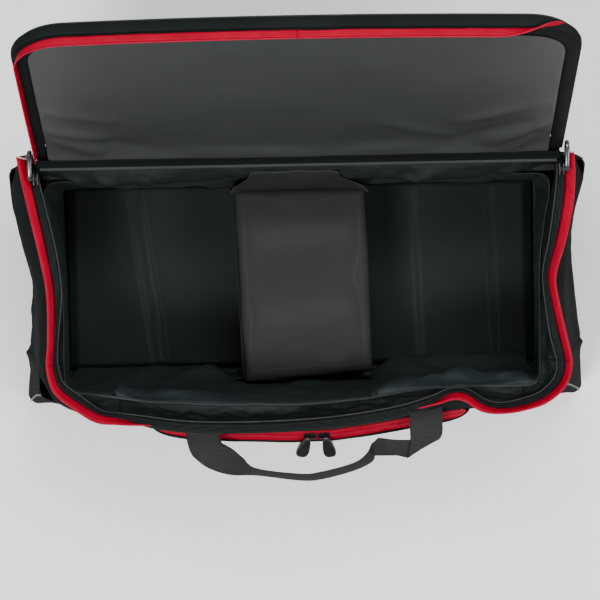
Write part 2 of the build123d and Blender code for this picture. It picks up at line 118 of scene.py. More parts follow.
def ramp(x, low, high):
    """0 up to low, 1 from high, and smooth between."""
    t = np.clip((x - low) / (high - low), 0, 1)
    return t * t * (3 - 2 * t)


def unit(v):
    return v / np.maximum(np.linalg.norm(v, axis=-1, keepdims=True), 1e-12)


def evened(values, reach=8):
    """Each value's mean with its neighbours within reach."""
    window = 2 * reach + 1
    return np.convolve(np.pad(values, reach, mode="edge"), np.ones(window) / window, mode="valid")


def smooth_line(points, count, dims=3):
    """Evenly spaced points on a curve through the given ones; columns past dims are carried along."""
    pts = np.array(points, float)
    ext = np.vstack([2 * pts[0] - pts[1], pts, 2 * pts[-1] - pts[-2]])
    spans = []
    t = np.linspace(0, 1, 24, endpoint=False)[:, None]
    for i in range(len(pts) - 1):
        a, b, c, d = ext[i : i + 4]
        square, cube = 2 * a - 5 * b + 4 * c - d, 3 * b - a - 3 * c + d
        spans.append(0.5 * (2 * b + (c - a) * t + square * t**2 + cube * t**3))
    line = np.vstack([*spans, pts[-1:]])
    run = np.r_[0, np.cumsum(np.linalg.norm(np.diff(line[:, :dims], axis=0), axis=1))]
    even = np.linspace(0, run[-1], count)
    return np.column_stack([np.interp(even, run, line[:, k]) for k in range(line.shape[1])])


def line_length(line):
    return np.linalg.norm(np.diff(line, axis=0), axis=1).sum()


def wave_noise(points, scale, seed, stretch=(1, 1, 1)):
    """Smooth noise from -1 to 1 at each point; stretch lengthens it along an axis."""
    s = np.array(stretch, float)
    flat = points.reshape(-1, 3) / s * scale + seed * 7.31
    return np.array([noise.noise(Vector(p)) for p in flat]).reshape(points.shape[:-1])


def folds(u, v, rows):
    """The sum of rounded creases that fade out at their ends.

    A row is the crease's start and end as u, v, u, v, then its width and height, in millimetres.
    """
    total = np.zeros_like(u)
    for row in rows:
        start_u, start_v, end_u, end_v, width, height = np.array(row) * MM
        du, dv = end_u - start_u, end_v - start_v
        t = ((u - start_u) * du + (v - start_v) * dv) / (du * du + dv * dv)
        near = np.clip(t, 0, 1)
        gap = np.hypot(u - start_u - near * du, v - start_v - near * dv)
        total += height * np.exp(-((gap / width) ** 2)) * hump(np.clip(t * 0.9 + 0.05, 0, 1)) ** 0.7
    return total


# ---------------------------------------------------------------- pieces
SLOT_MATERIAL = {}    # a slot to the first material made for it


def add_piece(name, verts, faces, material, body="bag", slot=None, replaces=()):
    """A mesh piece that rides on a body, or on none where body is None; its slot argument is not used."""
    mesh = bpy.data.meshes.new(name)
    mesh.from_pydata([tuple(map(float, v)) for v in verts], [], faces)
    bm = bmesh.new()
    bm.from_mesh(mesh)
    bmesh.ops.recalc_face_normals(bm, faces=bm.faces)
    bm.to_mesh(mesh)
    bm.free()
    mesh.polygons.foreach_set("use_smooth", [True] * len(mesh.polygons))
    obj = bpy.data.objects.new(name, mesh)
    scene.collection.objects.link(obj)
    mesh.materials.append(material)
    if body:
        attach(obj, body)
    if replaces:
        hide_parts(*replaces)
    return obj


def grid_faces(nu, nv, start=0, loop=False):
    faces = []
    for i in range(nu if loop else nu - 1):
        k = (i + 1) % nu
        for j in range(nv - 1):
            faces.append((start + i * nv + j, start + k * nv + j, start + k * nv + j + 1, start + i * nv + j + 1))
    return faces


def grid_normals(grid, loop=False):
    du = np.roll(grid, -1, 0) - np.roll(grid, 1, 0) if loop else np.gradient(grid, axis=0)
    return unit(np.cross(du, np.gradient(grid, axis=1)))


def two_faced(name, face, other, material, loop=False, **kind):
    """A closed piece between two grids of the same size, joined round their edges."""
    nu, nv = face.shape[:2]
    n = nu * nv
    verts = np.vstack([face.reshape(-1, 3), other.reshape(-1, 3)])
    faces = grid_faces(nu, nv, 0, loop) + [tuple(reversed(f)) for f in grid_faces(nu, nv, n, loop)]
    edges = [(i * nv + j, (i + 1) % nu * nv + j) for i in range(nu if loop else nu - 1) for j in (0, nv - 1)]
    if not loop:
        edges += [(i * nv + j, i * nv + j + 1) for j in range(nv - 1) for i in (0, nu - 1)]
    faces += [(a, b, n + b, n + a) for a, b in edges]
    return add_piece(name, verts, faces, material, **kind)


def cloth(name, grid, thick, material, loop=False, **kind):
    """A sheet of fabric with two faces and a rim; the second face stands thick along the grid's normal."""
    return two_faced(name, grid, grid + grid_normals(grid, loop) * thick, material, loop, **kind)


def sheet(name, grid, thick, material, held, rests_on, **kind):
    """Unpadded fabric made as cloth along the grid."""
    obj = cloth(name, grid, thick, material, **kind)
    return obj


def ring_stack(name, rings, material, **kind):
    """A closed piece through a row of rings, capped at both ends."""
    n, sides = rings.shape[:2]
    faces = []
    for i in range(n - 1):
        for j in range(sides):
            k = (j + 1) % sides
            faces.append((i * sides + j, i * sides + k, (i + 1) * sides + k, (i + 1) * sides + j))
    faces += [tuple(range(sides)), tuple(range((n - 1) * sides, n * sides))]
    return add_piece(name, rings.reshape(-1, 3), faces, material, **kind)


def tube(name, line, radius, material, sides=8, **kind):
    """A tube along a line; radius is one number or one for each point."""
    line = np.array(line)
    radius = np.broadcast_to(radius, len(line))
    tangent = unit(np.gradient(line, axis=0))
    side = unit(np.cross(tangent, UP + 1e-4))
    up = np.cross(side, tangent)
    turn = np.linspace(0, 2 * np.pi, sides, endpoint=False)[None, :, None]
    rings = line[:, None] + radius[:, None, None] * (side[:, None] * np.cos(turn) + up[:, None] * np.sin(turn))
    return ring_stack(name, rings, material, **kind)


def beads(name, line, radius, material, **kind):
    """A zip coil: a tube that swells at every tooth."""
    count = max(8, int(line_length(line) / TOOTH_PITCH)) * 4
    fine = smooth_line(line[:: max(1, len(line) // 120)], count)
    swell = radius * (0.82 + 0.18 * np.cos(np.arange(count) * np.pi / 2))
    return tube(name, fine, swell, material, sides=7, **kind)


def stitches(name, line, normal, pitch=STITCH_PITCH, **kind):
    """A row of raised thread stitches along a line; normal is the side that they lie on."""
    count = max(2, int(line_length(line) / pitch))
    half, wide, high, lift = pitch * 0.34, 0.35 * MM, 0.4 * MM, 0.25 * MM
    fine = smooth_line(line, count * 2)
    normals = smooth_line(np.column_stack([line, np.broadcast_to(normal, line.shape)]), count * 2)[:, 3:]
    verts, faces = [], []
    for a, b, normal_here in zip(fine[::2], fine[1::2], normals[::2]):
        along = unit(b - a)
        out = unit(normal_here)
        side = np.cross(along, out)
        mid = (a + b) / 2 + out * lift
        k = len(verts)
        verts += [mid - along * half, mid + along * half]
        verts += [mid + side * wide, mid - side * wide, mid + out * high, mid - out * high]
        for p, q in ((2, 4), (4, 3), (3, 5), (5, 2)):
            faces += [(k, k + p, k + q), (k + 1, k + q, k + p)]
    return add_piece(name, verts, faces, THREAD, **kind)


def rounded_loop(half, front, back, radius, straight, arc):
    """Points and outward normals round a rectangle with rounded corners, and where each side starts.

    It starts in the middle of the back-left corner and runs down the left side to the front.
    """
    centres = [(-half + radius, front + radius), (half - radius, front + radius),
               (half - radius, back - radius), (-half + radius, back - radius)]
    pts, normals, cuts = [], [], []

    def arc_part(centre, a0, a1):
        for a in np.linspace(a0, a1, arc, endpoint=False):
            normals.append((math.cos(a), math.sin(a)))
            pts.append((centre[0] + radius * math.cos(a), centre[1] + radius * math.sin(a)))

    for side in range(4):
        cuts.append(len(pts))
        a = math.pi * (1 + side / 2)
        arc_part(centres[side - 1], a - math.pi / 4, a)
        n = (math.cos(a), math.sin(a))
        p, q = (np.array(centres[k]) + radius * np.array(n) for k in (side - 1, side))
        for t in np.linspace(0, 1, straight, endpoint=False):
            pts.append(tuple(mix(p, q, t)))
            normals.append(n)
        arc_part(centres[side], a, a + math.pi / 4)
    cuts.append(len(pts))
    return np.array(pts), np.array(normals), cuts


def wall_grid(heights, outline_at, radius, straight, arc):
    """Rings round the bag at each height, the walls' outward directions, and where each side starts."""
    rows = []
    for z in heights:
        pts, normals, cuts = rounded_loop(*outline_at(z), radius, straight, arc)
        flat = np.zeros(len(pts))
        rows.append(np.column_stack([pts, flat + z, normals, flat]))
    loop = np.array(rows).transpose(1, 0, 2)
    return loop[..., :3], loop[..., 3:], cuts


def by_side(cuts, count):
    """Each side's name and its places in a loop, with the first of the next side."""
    for side, first, last in zip(SIDES, cuts, cuts[1:]):
        yield side, np.arange(first, last + 1) % count


def nearest_on_rect(points, half, front, back, radius):
    """Closest points on a rounded rectangle's outline to points near it."""
    centre = np.array([0, (front + back) / 2])
    size = np.array([half, (back - front) / 2]) - radius
    p = points - centre
    out = np.empty_like(p)
    for i, (x, y) in enumerate(p):
        qx, qy = abs(x) - size[0], abs(y) - size[1]
        sx, sy = math.copysign(1, x), math.copysign(1, y)
        if qx > 0 and qy > 0:
            d = math.hypot(qx, qy)
            out[i] = (sx * (size[0] + radius * qx / d), sy * (size[1] + radius * qy / d))
        elif qx > qy:
            out[i] = (sx * (size[0] + radius), y)
        else:
            out[i] = (x, sy * (size[1] + radius))
    return out + centre


def subdivide(obj):
    mod = obj.modifiers.new("smooth", "SUBSURF")
    mod.levels = mod.render_levels = 1
    return obj


def mesh_now(obj):
    """A new mesh of the piece with its modifiers applied."""
    return bpy.data.meshes.new_from_object(obj.evaluated_get(bpy.context.evaluated_depsgraph_get()))


def puff(obj, cap):
    """Swells a closed pad by cloth pressure; no point ends further than cap from where it began."""
    bpy.context.view_layer.objects.active = obj
    remesh = obj.modifiers.new("remesh", "REMESH")
    remesh.mode = "VOXEL"
    remesh.voxel_size = 5 * MM
    even = mesh_now(obj)
    obj.modifiers.clear()
    obj.data = even
    sim = obj.modifiers.new("swell", "CLOTH")
    sim.settings.use_pressure = True
    sim.settings.uniform_pressure_force = 4.0
    sim.settings.effector_weights.gravity = 0
    sim.settings.quality = 4
    for step in range(1, 21):
        scene.frame_set(step)
    swollen = mesh_now(obj)
    rest = np.array([v.co for v in even.vertices])
    moved = np.array([v.co for v in swollen.vertices]) - rest
    far = np.linalg.norm(moved, axis=1, keepdims=True)
    moved *= np.minimum(1, cap / np.maximum(far, 1e-9))
    even.vertices.foreach_set("co", (rest + moved).ravel())
    obj.modifiers.clear()
    scene.frame_set(1)
    even.polygons.foreach_set("use_smooth", [True] * len(even.polygons))
    bpy.data.meshes.remove(swollen)
    return subdivide(obj)


# ---------------------------------------------------------------- materials
def new_material(name, slot, color, rough, spec, sheen=0.0):
    mat = bpy.data.materials.new(name)
    mat.use_nodes = True
    bsdf = mat.node_tree.nodes["Principled BSDF"]
    bsdf.inputs["Base Color"].default_value = (*color, 1)
    bsdf.inputs["Roughness"].default_value = rough
    bsdf.inputs["Specular IOR Level"].default_value = spec
    bsdf.inputs["Sheen Weight"].default_value = sheen
    bsdf.inputs["Sheen Roughness"].default_value = 0.4
    if slot:
        SLOT_MATERIAL.setdefault(slot, mat)
    return mat, mat.node_tree, bsdf


def node(tree, kind, *feeds, **values):
    """A shader node; feeds are linked to its inputs in order, and values are set or linked by name."""
    made = tree.nodes.new(kind)
    for place, feed in enumerate(feeds):
        tree.links.new(feed, made.inputs[place])
    for key, value in values.items():
        if isinstance(value, bpy.types.NodeSocket):
            tree.links.new(value, made.inputs[key])
        elif key in made.inputs:
            made.inputs[key].default_value = value
        else:
            setattr(made, key, value)
    return made


def variation(tree, bsdf, coords, color, spread, scale):
    """Faint cloudy change of shade over a material."""
    cloud = node(tree, "ShaderNodeTexNoise", Vector=coords, Scale=scale, Detail=4.0)
    shades = node(tree, "ShaderNodeValToRGB", cloud.outputs["Fac"])
    for stop, position, change in zip(shades.color_ramp.elements, (0.3, 0.7), (1 - spread, 1 + spread)):
        stop.position = position
        stop.color = (*[c * change for c in color], 1)
    tree.links.new(shades.outputs["Color"], bsdf.inputs["Base Color"])


def weave_height(tree, coords, pitch):
    """Crossing threads: the product of sines along each pair of axes."""
    turn = node(tree, "ShaderNodeVectorMath", coords, operation="SCALE")
    turn.inputs["Scale"].default_value = 2 * math.pi / pitch
    sines = node(tree, "ShaderNodeVectorMath", turn.outputs[0], operation="SINE")
    parts = node(tree, "ShaderNodeSeparateXYZ", sines.outputs[0]).outputs
    total = None
    for a, b in (("X", "Y"), ("Y", "Z"), ("X", "Z")):
        product = node(tree, "ShaderNodeMath", parts[a], parts[b], operation="MULTIPLY").outputs[0]
        if total is None:
            total = product
        else:
            total = node(tree, "ShaderNodeMath", total, product, operation="ADD").outputs[0]
    return total


def fabric(name, slot, color, rough, pitch, depth, spec=0.3, crumple=0.0, spread=0.15, cloud=9.0, sheen=0.0):
    """Woven cloth: threads, fine irregular creases and a cloudy shade; pitch, depth and crumple in millimetres."""
    mat, tree, bsdf = new_material(name, slot, color, rough, spec, sheen)
    coords = node(tree, "ShaderNodeTexCoord").outputs["Object"]
    variation(tree, bsdf, coords, color, spread, cloud)
    height = weave_height(tree, coords, pitch * MM)
    bump = node(tree, "ShaderNodeBump", Strength=0.6, Distance=depth * MM, Height=height)
    if crumple:
        rough_noise = node(tree, "ShaderNodeTexNoise", Vector=coords, Scale=38.0, Detail=5.0, Roughness=0.62)
        bump = node(tree, "ShaderNodeBump", Strength=0.7, Distance=crumple * MM, Height=rough_noise.outputs["Fac"],
                    Normal=bump.outputs["Normal"])
    tree.links.new(bump.outputs["Normal"], bsdf.inputs["Normal"])
    return mat


def moulded(name, slot, color, rough, spec=0.5):
    """Moulded rubber, plastic, painted metal or thread: fine grain and a cloudy shade."""
    mat, tree, bsdf = new_material(name, slot, color, rough, spec)
    coords = node(tree, "ShaderNodeTexCoord").outputs["Object"]
    variation(tree, bsdf, coords, color, 0.2, 60.0)
    fine = node(tree, "ShaderNodeTexNoise", Vector=coords, Scale=900.0, Detail=3.0)
    bump = node(tree, "ShaderNodeBump", Strength=0.5, Distance=0.05 * MM, Height=fine.outputs["Fac"])
    tree.links.new(bump.outputs["Normal"], bsdf.inputs["Normal"])
    return mat


# The first material of each slot also goes on the CAD nodes of that slot.
SHELL = fabric("shell_nylon", "shell", (0.0098, 0.0120, 0.0120), 0.8, 1.1, 0.25, 0.02, crumple=0.7)
LINING = fabric("lining_nylon", "lining", (0.0215, 0.0290, 0.0305), 0.38, 0.8, 0.1, 0.25, crumple=1.4)
# Darker copy of the lining nylon for the floor pad: painted shade on the floor deep inside the bag.
SHADED_FLOOR_CLOTH = fabric("floor_nylon_painted_shade", "lining", (0.0082, 0.0118, 0.0122), 0.42, 0.8, 0.1, 0.16, crumple=0.6)
LID_CLOTH = fabric("lid_lining_nylon", "lid_lining", (0.0245, 0.0270, 0.0275), 0.36, 0.7, 0.08, spread=0.08,
                   cloud=5.0)
DIVIDER_CLOTH = fabric("divider_nylon", "divider", (0.0098, 0.0106, 0.0107), 0.54, 0.7, 0.1, 0.25, crumple=0.25,
                       spread=0.08, cloud=6.0)
FACING = fabric("facing_mesh", "facing", (0.0048, 0.0060, 0.0062), 0.7, 2.0, 0.8, 0.06, crumple=0.5)
FACE_CLOTH = fabric("facing_nylon", "facing", (0.0072, 0.0095, 0.0100), 0.4, 0.8, 0.1, 0.25, crumple=1.6)
STRIP_CLOTH = fabric("strip_mesh", "facing", (0.0090, 0.0112, 0.0115), 0.6, 2.0, 0.9, 0.12, crumple=0.6)
WEBBING = fabric("webbing", "webbing", (0.0260, 0.0270, 0.0275), 0.8, 2.4, 0.6, 0.02)
BINDING = fabric("binding_tape", "piping", (0.018, 0.021, 0.021), 0.45, 0.9, 0.15, sheen=0.05)
fabric("foam", "foam", (0.1, 0.1, 0.1), 0.9, 1.5, 0.3)
fabric("hook_tape", "hook", (0.01, 0.01, 0.01), 0.8, 1.2, 0.6)
TAPE = fabric("red_zip_tape", "zip_tape", (0.34, 0.0005, 0.018), 0.7, 1.0, 0.2, 0.05, spread=0.10, cloud=40.0)
# Darker copy of the red tape for a rib along the tape's inner edge: painted shade where the tape meets the binding
# strip.
TAPE_EDGE_SHADE = fabric("red_tape_edge_painted_shade", "zip_tape", (0.16, 0.0004, 0.008), 0.7, 1.0, 0.2, 0.1, spread=0.10, cloud=40.0)
COIL = moulded("red_zip_coil", "zip_coil", (0.30, 0.0005, 0.022), 0.6, spec=0.1)
RUBBER = moulded("grip_rubber", "grip", (0.016, 0.016, 0.017), 0.22, spec=0.8)
moulded("black_metal", "metal", (0.010, 0.010, 0.011), 0.35, spec=0.4)
moulded("board_plastic", "board", (0.03, 0.03, 0.03), 0.6)
THREAD = moulded("thread", "piping", (0.03, 0.034, 0.035), 0.5)
PALE_THREAD = moulded("pale_thread", "piping", (0.45, 0.42, 0.42), 0.5)
for part in frame["record"]["subparts"]:
    mesh = frame["nodes"][part["node"]].data
    mesh.materials.clear()
    mesh.materials.append(SLOT_MATERIAL[part["material_slot"]])

# ---------------------------------------------------------------- how the open bag has slumped
# Each is read along the bag: where, and how far outward the wall stands there.
BACK_FLARE = {-1: ([10, 20, 44, 75, 107, 144], [0, 1, 7, 16, 23.5, 27]),
              1: ([10, 55, 85, 104, 125, 142], [0, 4, 9.5, 15, 21, 23])}
FOOT_BULGE = {-1: ([-140, -108, -60, -22, 15, 50], [9, 6, 2, -4, -14, -14]),
              1: ([-140, -89, -42, 20, 60], [15, 13, 10, 3, 1])}
SEAM_BOW = ([-251, -220, -172, -100, -3, 69, 117, 155, 184], [0, 3, 11, 15, 17, 12, 4, 1, 0])


def slump(points, foot=1.0, flare=1.0, bow=1.0, rear=0.0):
    """Shifts the walls' points outward: flared rear top corners, a bulging foot and a bowed front top edge."""
    out = points.copy()
    x, y, z = (points[..., k] for k in range(3))
    sign = np.where(x < 0, -1, 1)
    reach = ramp(np.abs(x), 180 * MM, 285 * MM)
    for side in (-1, 1):
        top = np.interp(y / MM, *BACK_FLARE[side]) * ramp(z, 40 * MM, 245 * MM) * flare
        low = np.interp(y / MM, *FOOT_BULGE[side]) * (1 - ramp(z, 60 * MM, 245 * MM)) * foot
        out[..., 0] += np.where(sign == side, side * reach * (top + low) * MM, 0)
    front = 1 - ramp(y, -100 * MM, -55 * MM)
    out[..., 1] += front * ramp(np.abs(x), 235 * MM, 300 * MM) * foot * (9 + 12 * ramp(z, 20 * MM, 200 * MM)) * MM
    out[..., 1] += rear * 9 * MM * ramp(y, 100 * MM, 122 * MM) * ramp(z, 120 * MM, 245 * MM)
    out[..., 1] -= front * np.interp(x / MM, *SEAM_BOW) * MM * ramp(z, 60 * MM, 250 * MM) * bow
    return out


# ---------------------------------------------------------------- rim line of the open bag
# The coil's line as the loose band holds it, from the back-left corner round the front to the
# back-right corner: x, y, how far the tape leans outward, and how far the binding strip inside it
# reaches inward.
RIM_PLACES = [
    (-310, 164, 9, 6), (-301, 117, 9, 8), (-287, 52, 7.5, 9.5), (-280.5, 10, 7, 7), (-281, -42, 6.5, 2.5),
    (-283, -70, 6.5, 4), (-276, -97, 7, 5), (-256, -115, 7.5, 6), (-230, -131.5, 8.5, 3), (-205, -134.5, 6, 4),
    (-180, -136.5, 1.5, 8), (-129, -142.5, 0, 9), (-80, -144.5, 0, 9), (-20, -144, 0, 9), (40, -140, 0, 9),
    (96, -132, 0, 9), (133, -123, 0.5, 8), (152, -117.5, 3, 6), (167, -113.5, 6.5, 4), (180, -116, 7.5, 4),
    (198, -127.5, 7, 5), (220, -130.5, 4.5, 5), (247, -127, 4.5, 6), (272, -118.5, 5.5, 6), (292, -100, 6, 7),
    (298.5, -75, 6.5, 8), (292, -41, 7, 9), (282, 8, 7, 5), (283, 28, 8, 5), (292, 57, 9, 7),
    (301, 97, 10, 9), (304, 131, 10, 8), (303, 158, 10, 7),
]
RIM_COUNT = 321
STRIP = 10.5 * MM     # width of the binding strip
rim = smooth_line(np.array(RIM_PLACES) * MM, RIM_COUNT, dims=2)
coil_xy, lean, strip_in = rim[:, :2], np.clip(rim[:, 2], 0, TAPE_WIDTH * 0.95), np.clip(rim[:, 3], 0, STRIP * 0.97)
tangent = unit(np.gradient(coil_xy, axis=0))
outward = np.column_stack([tangent[:, 1], -tangent[:, 0]])
share = np.linspace(0, 1, RIM_COUNT)
coil_z = RIM_Z - 2.0 * MM + 1.5 * MM * np.sin(share * 23) * hump(share)
cover = 1 - ramp(lean, 0.5 * MM, 3 * MM)
tape_in_xy = coil_xy - outward * lean[:, None]
tape_in_z = coil_z - np.sqrt(np.maximum(TAPE_WIDTH**2 - lean**2, 0))
strip_xy = tape_in_xy - outward * strip_in[:, None]
in_front = lean < 2 * MM
strip_top_z = evened(np.where(in_front, coil_z - 1.5 * MM, tape_in_z + 1.2 * MM))
strip_z = strip_top_z - np.sqrt(np.maximum(STRIP**2 - strip_in**2, 0))
wall_xy = nearest_on_rect(coil_xy, TOP_HALF, TOP_FRONT, BACK, 26 * MM)
inner_xy = nearest_on_rect(coil_xy, IN_HALF_TOP, IN_FRONT_TOP, IN_BACK + 40 * MM, 16 * MM)


def at(xy, z):
    return np.column_stack([xy, np.broadcast_to(z, len(xy))])


coil_line = at(coil_xy - outward * 0.8 * MM * cover[:, None], coil_z - 3 * MM * cover)
tape_in = at(tape_in_xy, tape_in_z)
strip_low = at(strip_xy, strip_z)
strip_high = at(tape_in_xy + outward * (-0.8 + 3.2 * cover[:, None]) * MM, strip_top_z + 3.2 * MM * cover)
outward3 = at(outward, 0.0)

# Where the rim is cut into lengths. The straight lengths get meshes of their own; the two
# corners stay as they are.
CUT_PLACES = (5, 9, 22, 25)
CUTS = [0]
for place in CUT_PLACES:
    target = np.array(RIM_PLACES[place][:2]) * MM
    CUTS.append(int(np.argmin(np.linalg.norm(coil_xy - target, axis=1))))
CUTS.append(RIM_COUNT - 1)
LENGTHS = dict(zip(("left", "front_left", "front", "front_right", "right"), zip(CUTS, CUTS[1:])))


def settle(obj, length):
    """Gives a straight length of the rim a mesh of its own; the corners are left as they are."""
    if length in ("left", "right"):
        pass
    elif length == "front":
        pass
    else:
        return
    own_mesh(obj)


# Loose band from the top of the padded walls to the zip tape, and its inner facing.
t = np.linspace(0, 1, 13)[None, :, None]
foot = slump(at(wall_xy, WALL_TOP - 1 * MM), bow=0.3)[:, None]
top = tape_in[:, None]
bulge = np.where(np.abs(coil_xy[:, 0]) > 0.26, 6.0, 2.5) * MM
middle = (foot + top) / 2 + outward3[:, None] * bulge[:, None, None]
band = (1 - t) ** 2 * foot + 2 * t * (1 - t) * middle + t**2 * top
wrinkle = wave_noise(band, 22, 1, (2.2, 2.2, 1)) + 0.6 * wave_noise(band, 60, 2, (1.5, 1.5, 1))
band = band + outward3[:, None] * wrinkle[..., None] * hump(t) * 3.6 * MM

FACING_ROWS = 25
inner_foot = slump(at(inner_xy, WALL_TOP + 0.5 * MM), foot=0, flare=0.8)
span = np.maximum(np.einsum("ij,ij->i", strip_low - inner_foot, outward3), 0)[:, None]
shelf = mix(inner_foot, strip_low, 0.28) + outward3 * span * np.where(in_front, 0.26, 0.04)[:, None]
half_up = mix(inner_foot, strip_low, 0.6) + outward3 * span * np.where(in_front, 0.22, 0.04)[:, None]
facing = np.array([smooth_line(places, FACING_ROWS) for places in zip(inner_foot, shelf, half_up, strip_low)])
fall = hump(np.linspace(0, 1, FACING_ROWS))[None] ** 0.7
crinkle = wave_noise(facing, 30, 3, (2.4, 0.9, 1)) + 0.8 * (0.4 - np.abs(wave_noise(facing, 42, 4, (2.2, 1, 1))))
crinkle += 0.7 * (0.4 - np.abs(wave_noise(facing, 95, 5, (1.5, 1, 1))))
facing += grid_normals(facing) * (crinkle * fall * np.where(in_front, 6.5, 3.5)[:, None])[..., None] * MM

ACROSS = np.linspace(0, 1, 5)[None, :, None]
PANELS = ["front_panel", "left_panel", "right_panel"]
for length, (first, last) in LENGTHS.items():
    part = slice(first, last + 1)
    out, low, high, tape_edge, coil = (line[part] for line in (outward3, strip_low, strip_high, tape_in, coil_line))
    tape = mix(tape_edge[:, None], (coil - out * 1 * MM)[:, None], ACROSS)
    strip = mix(low[:, None], high[:, None], ACROSS) + UP * hump(ACROSS) * 1.2 * MM
    for piece in (
        sheet(f"zip_band_{length}", band[part], 1.2 * MM, SHELL, "stretched", PANELS, replaces=["zip_band"]),
        sheet(f"band_facing_{length}", facing[part], 0.8 * MM, FACE_CLOTH, "gathered", PANELS,
              replaces=["zip_band_facing", "wall_top_binding"]),
        cloth(f"main_zip_tape_{length}", tape, 0.7 * MM, TAPE, replaces=["main_zip_tape"]),
        beads(f"main_zip_coil_{length}", coil, 1.1 * MM, COIL, replaces=["main_zip_coil"]),
        cloth(f"rim_binding_{length}", strip, 0.9 * MM, STRIP_CLOTH),
        tube(f"rim_roll_{length}", low + UP * 0.6 * MM - out * 0.4 * MM, 0.9 * MM, BINDING),
        stitches(f"tape_stitches_{length}", mix(low, high, 0.3) + UP * 1.9 * MM, UP, 3.2 * MM),
        # A darker red rib along the tape's inner edge: painted shade.
        tube(f"tape_shade_rib_{length}", mix(tape_edge, coil, 0.2) + UP * 0.5 * MM - out * 0.5 * MM, 0.45 * MM, TAPE_EDGE_SHADE,
             sides=6),
    ):
        settle(piece, length)


# ---------------------------------------------------------------- outer shell
SIDE_CREASES = (
    (60, 220, -100, 100, 11, 5), (120, 200, 50, 60, 11, -4), (-20, 160, -110, 40, 11, -4),
    (140, 120, 20, 20, 11, 4), (-100, 220, -60, 60, 11, 4),
)


def shell_outline(z):
    s = z / WALL_TOP
    tuck = 7 * MM * (1 - ramp(z, 0, 34 * MM))
    return mix(BASE_HALF, TOP_HALF, s) - tuck * 0.5, mix(BASE_FRONT, TOP_FRONT, s) + tuck, BACK - tuck * 0.5


shell, shell_out, shell_cuts = wall_grid(np.linspace(0, WALL_TOP, 30), shell_outline, 9 * MM, 64, 6)
s = shell[..., 2] / WALL_TOP
across = np.concatenate([hump(np.linspace(0, 1, b - a)) for a, b in zip(shell_cuts, shell_cuts[1:])])
belly = hump(np.clip(s, 0, 1)) ** 0.8 * across[:, None] ** 0.6 * 4 * MM
lumps = wave_noise(shell, 9, 5) * 3.0 + wave_noise(shell, 26, 6, (1, 1, 1.8)) * 2.0 + wave_noise(shell, 60, 16) * 0.8
ends = hump(np.clip(s * 0.96 + 0.02, 0, 1)) ** 0.5
creases = folds(shell[..., 1], shell[..., 2], SIDE_CREASES) * (np.abs(shell_out[..., 0]) > 0.7)
puffed = belly + np.abs(lumps) * MM * ends * 0.9 + creases * ends + 0.3 * MM
shell = slump(shell, bow=0.3) + shell_out * puffed[..., None]
for side, index in by_side(shell_cuts, len(shell)):
    cloth(f"{side}_shell", shell[index], -1.2 * MM, SHELL, replaces=[f"{side}_panel"])
    edge = shell[index[0]] + shell_out[index[0]] * 0.3 * MM
    tube(f"{side}_corner_seam", edge[1:], 1.1 * MM, BINDING)
foot_ring = np.vstack([shell[:, 1], shell[:1, 1]]) + UP * 0.5 * MM
tube("base_roll", foot_ring, 2.2 * MM, SHELL, slot="piping", replaces=["base_piping"])
centre = np.array([0, (BASE_FRONT + BACK) / 2, 1.2 * MM])
inner_ring = mix(shell[:, 0], centre, 0.015)
base_rows = np.array([mix(inner_ring, mix(centre, inner_ring, 0.015), q) for q in np.linspace(0, 1, 14)])
base_rows[..., 2] = 1.0 * MM + 0.6 * MM * wave_noise(base_rows, 18, 17)
cloth("base_soft", base_rows.transpose(1, 0, 2), 1.0 * MM, SHELL, loop=True, replaces=["base_panel"])

# ---------------------------------------------------------------- lining of the padded walls
LINING_FOOT = 13.5 * MM
FRONT_CREASES = (
    (-235, 210, -190, 60, 7, 9), (-160, 120, -100, 50, 8, 6), (-20, 160, 50, 60, 9, 5), (100, 50, 190, 150, 10, 7),
    (200, 200, 250, 70, 9, 7), (-215, 240, -180, 222, 6, 13), (-185, 226, -85, 234, 6, 15),
    (-120, 205, -70, 228, 5, 8), (80, 238, 150, 228, 7, 15), (140, 232, 210, 220, 8, 20),
    (160, 215, 200, 180, 6, 9), (205, 222, 262, 238, 8, 15),
)


def lining_outline(z):
    s = z / WALL_TOP
    return mix(IN_HALF_LOW, IN_HALF_TOP, s), mix(IN_FRONT_LOW, IN_FRONT_TOP, s), IN_BACK


heights = np.linspace(LINING_FOOT, WALL_TOP + 0.8 * MM, 30)
lining, lining_out, lining_cuts = wall_grid(heights, lining_outline, 16 * MM, 70, 7)
x, z, facing_front = lining[..., 0], lining[..., 2], -lining_out[..., 1]
h = (z - lining[:, :1, 2]) / (WALL_TOP - 13 * MM)
loose = hump(np.clip(h * 0.92 + 0.06, 0, 1)) ** 0.6
surplus = np.interp(x / MM, [-270, -110, -85, 85, 110, 280], [13, 12, 3, 3, 18, 24])
low_belly = np.exp(-(((h - 0.13) / 0.17) ** 2)) * surplus * MM * ramp(facing_front, 0.5, 0.9)
creases = folds(x, z, FRONT_CREASES) * (facing_front > 0)
noise_wide = wave_noise(lining, 13, 7, (1, 1, 1.6)) * 0.5 + 0.5
noise_fine = np.abs(wave_noise(lining, 34, 8, (1, 1, 2.2))) + 0.4 * np.abs(wave_noise(lining, 80, 18, (1, 1, 1.5)))
upper = ramp(z, 150 * MM, 215 * MM) * (1 - ramp(z, 238 * MM, 249 * MM)) * ramp(facing_front, 0.3, 0.9)
crumples = (0.5 - np.abs(wave_noise(lining, 45, 23, (1, 1, 1.3)))) * upper * 4 * MM
inward = loose * (noise_wide * 5 * MM + noise_fine * 4 * MM) + low_belly + creases + crumples
lining = slump(lining, foot=0, flare=0.8, rear=1.0) - lining_out * (inward + 0.4 * MM)[..., None]
for side, index in by_side(lining_cuts, len(lining)):
    cloth(f"{side}_wall_lining", lining[index], 0.5 * MM, LINING, replaces=[f"{side}_lining", f"{side}_foam"])
seam = np.arange(lining_cuts[1], lining_cuts[2] + 1)
top_edge = lining[seam, -1] + lining_out[seam, -1] * 1 * MM + UP * 1.0 * MM
tube("wall_top_piping", top_edge, 1.3 * MM, BINDING, sides=10)


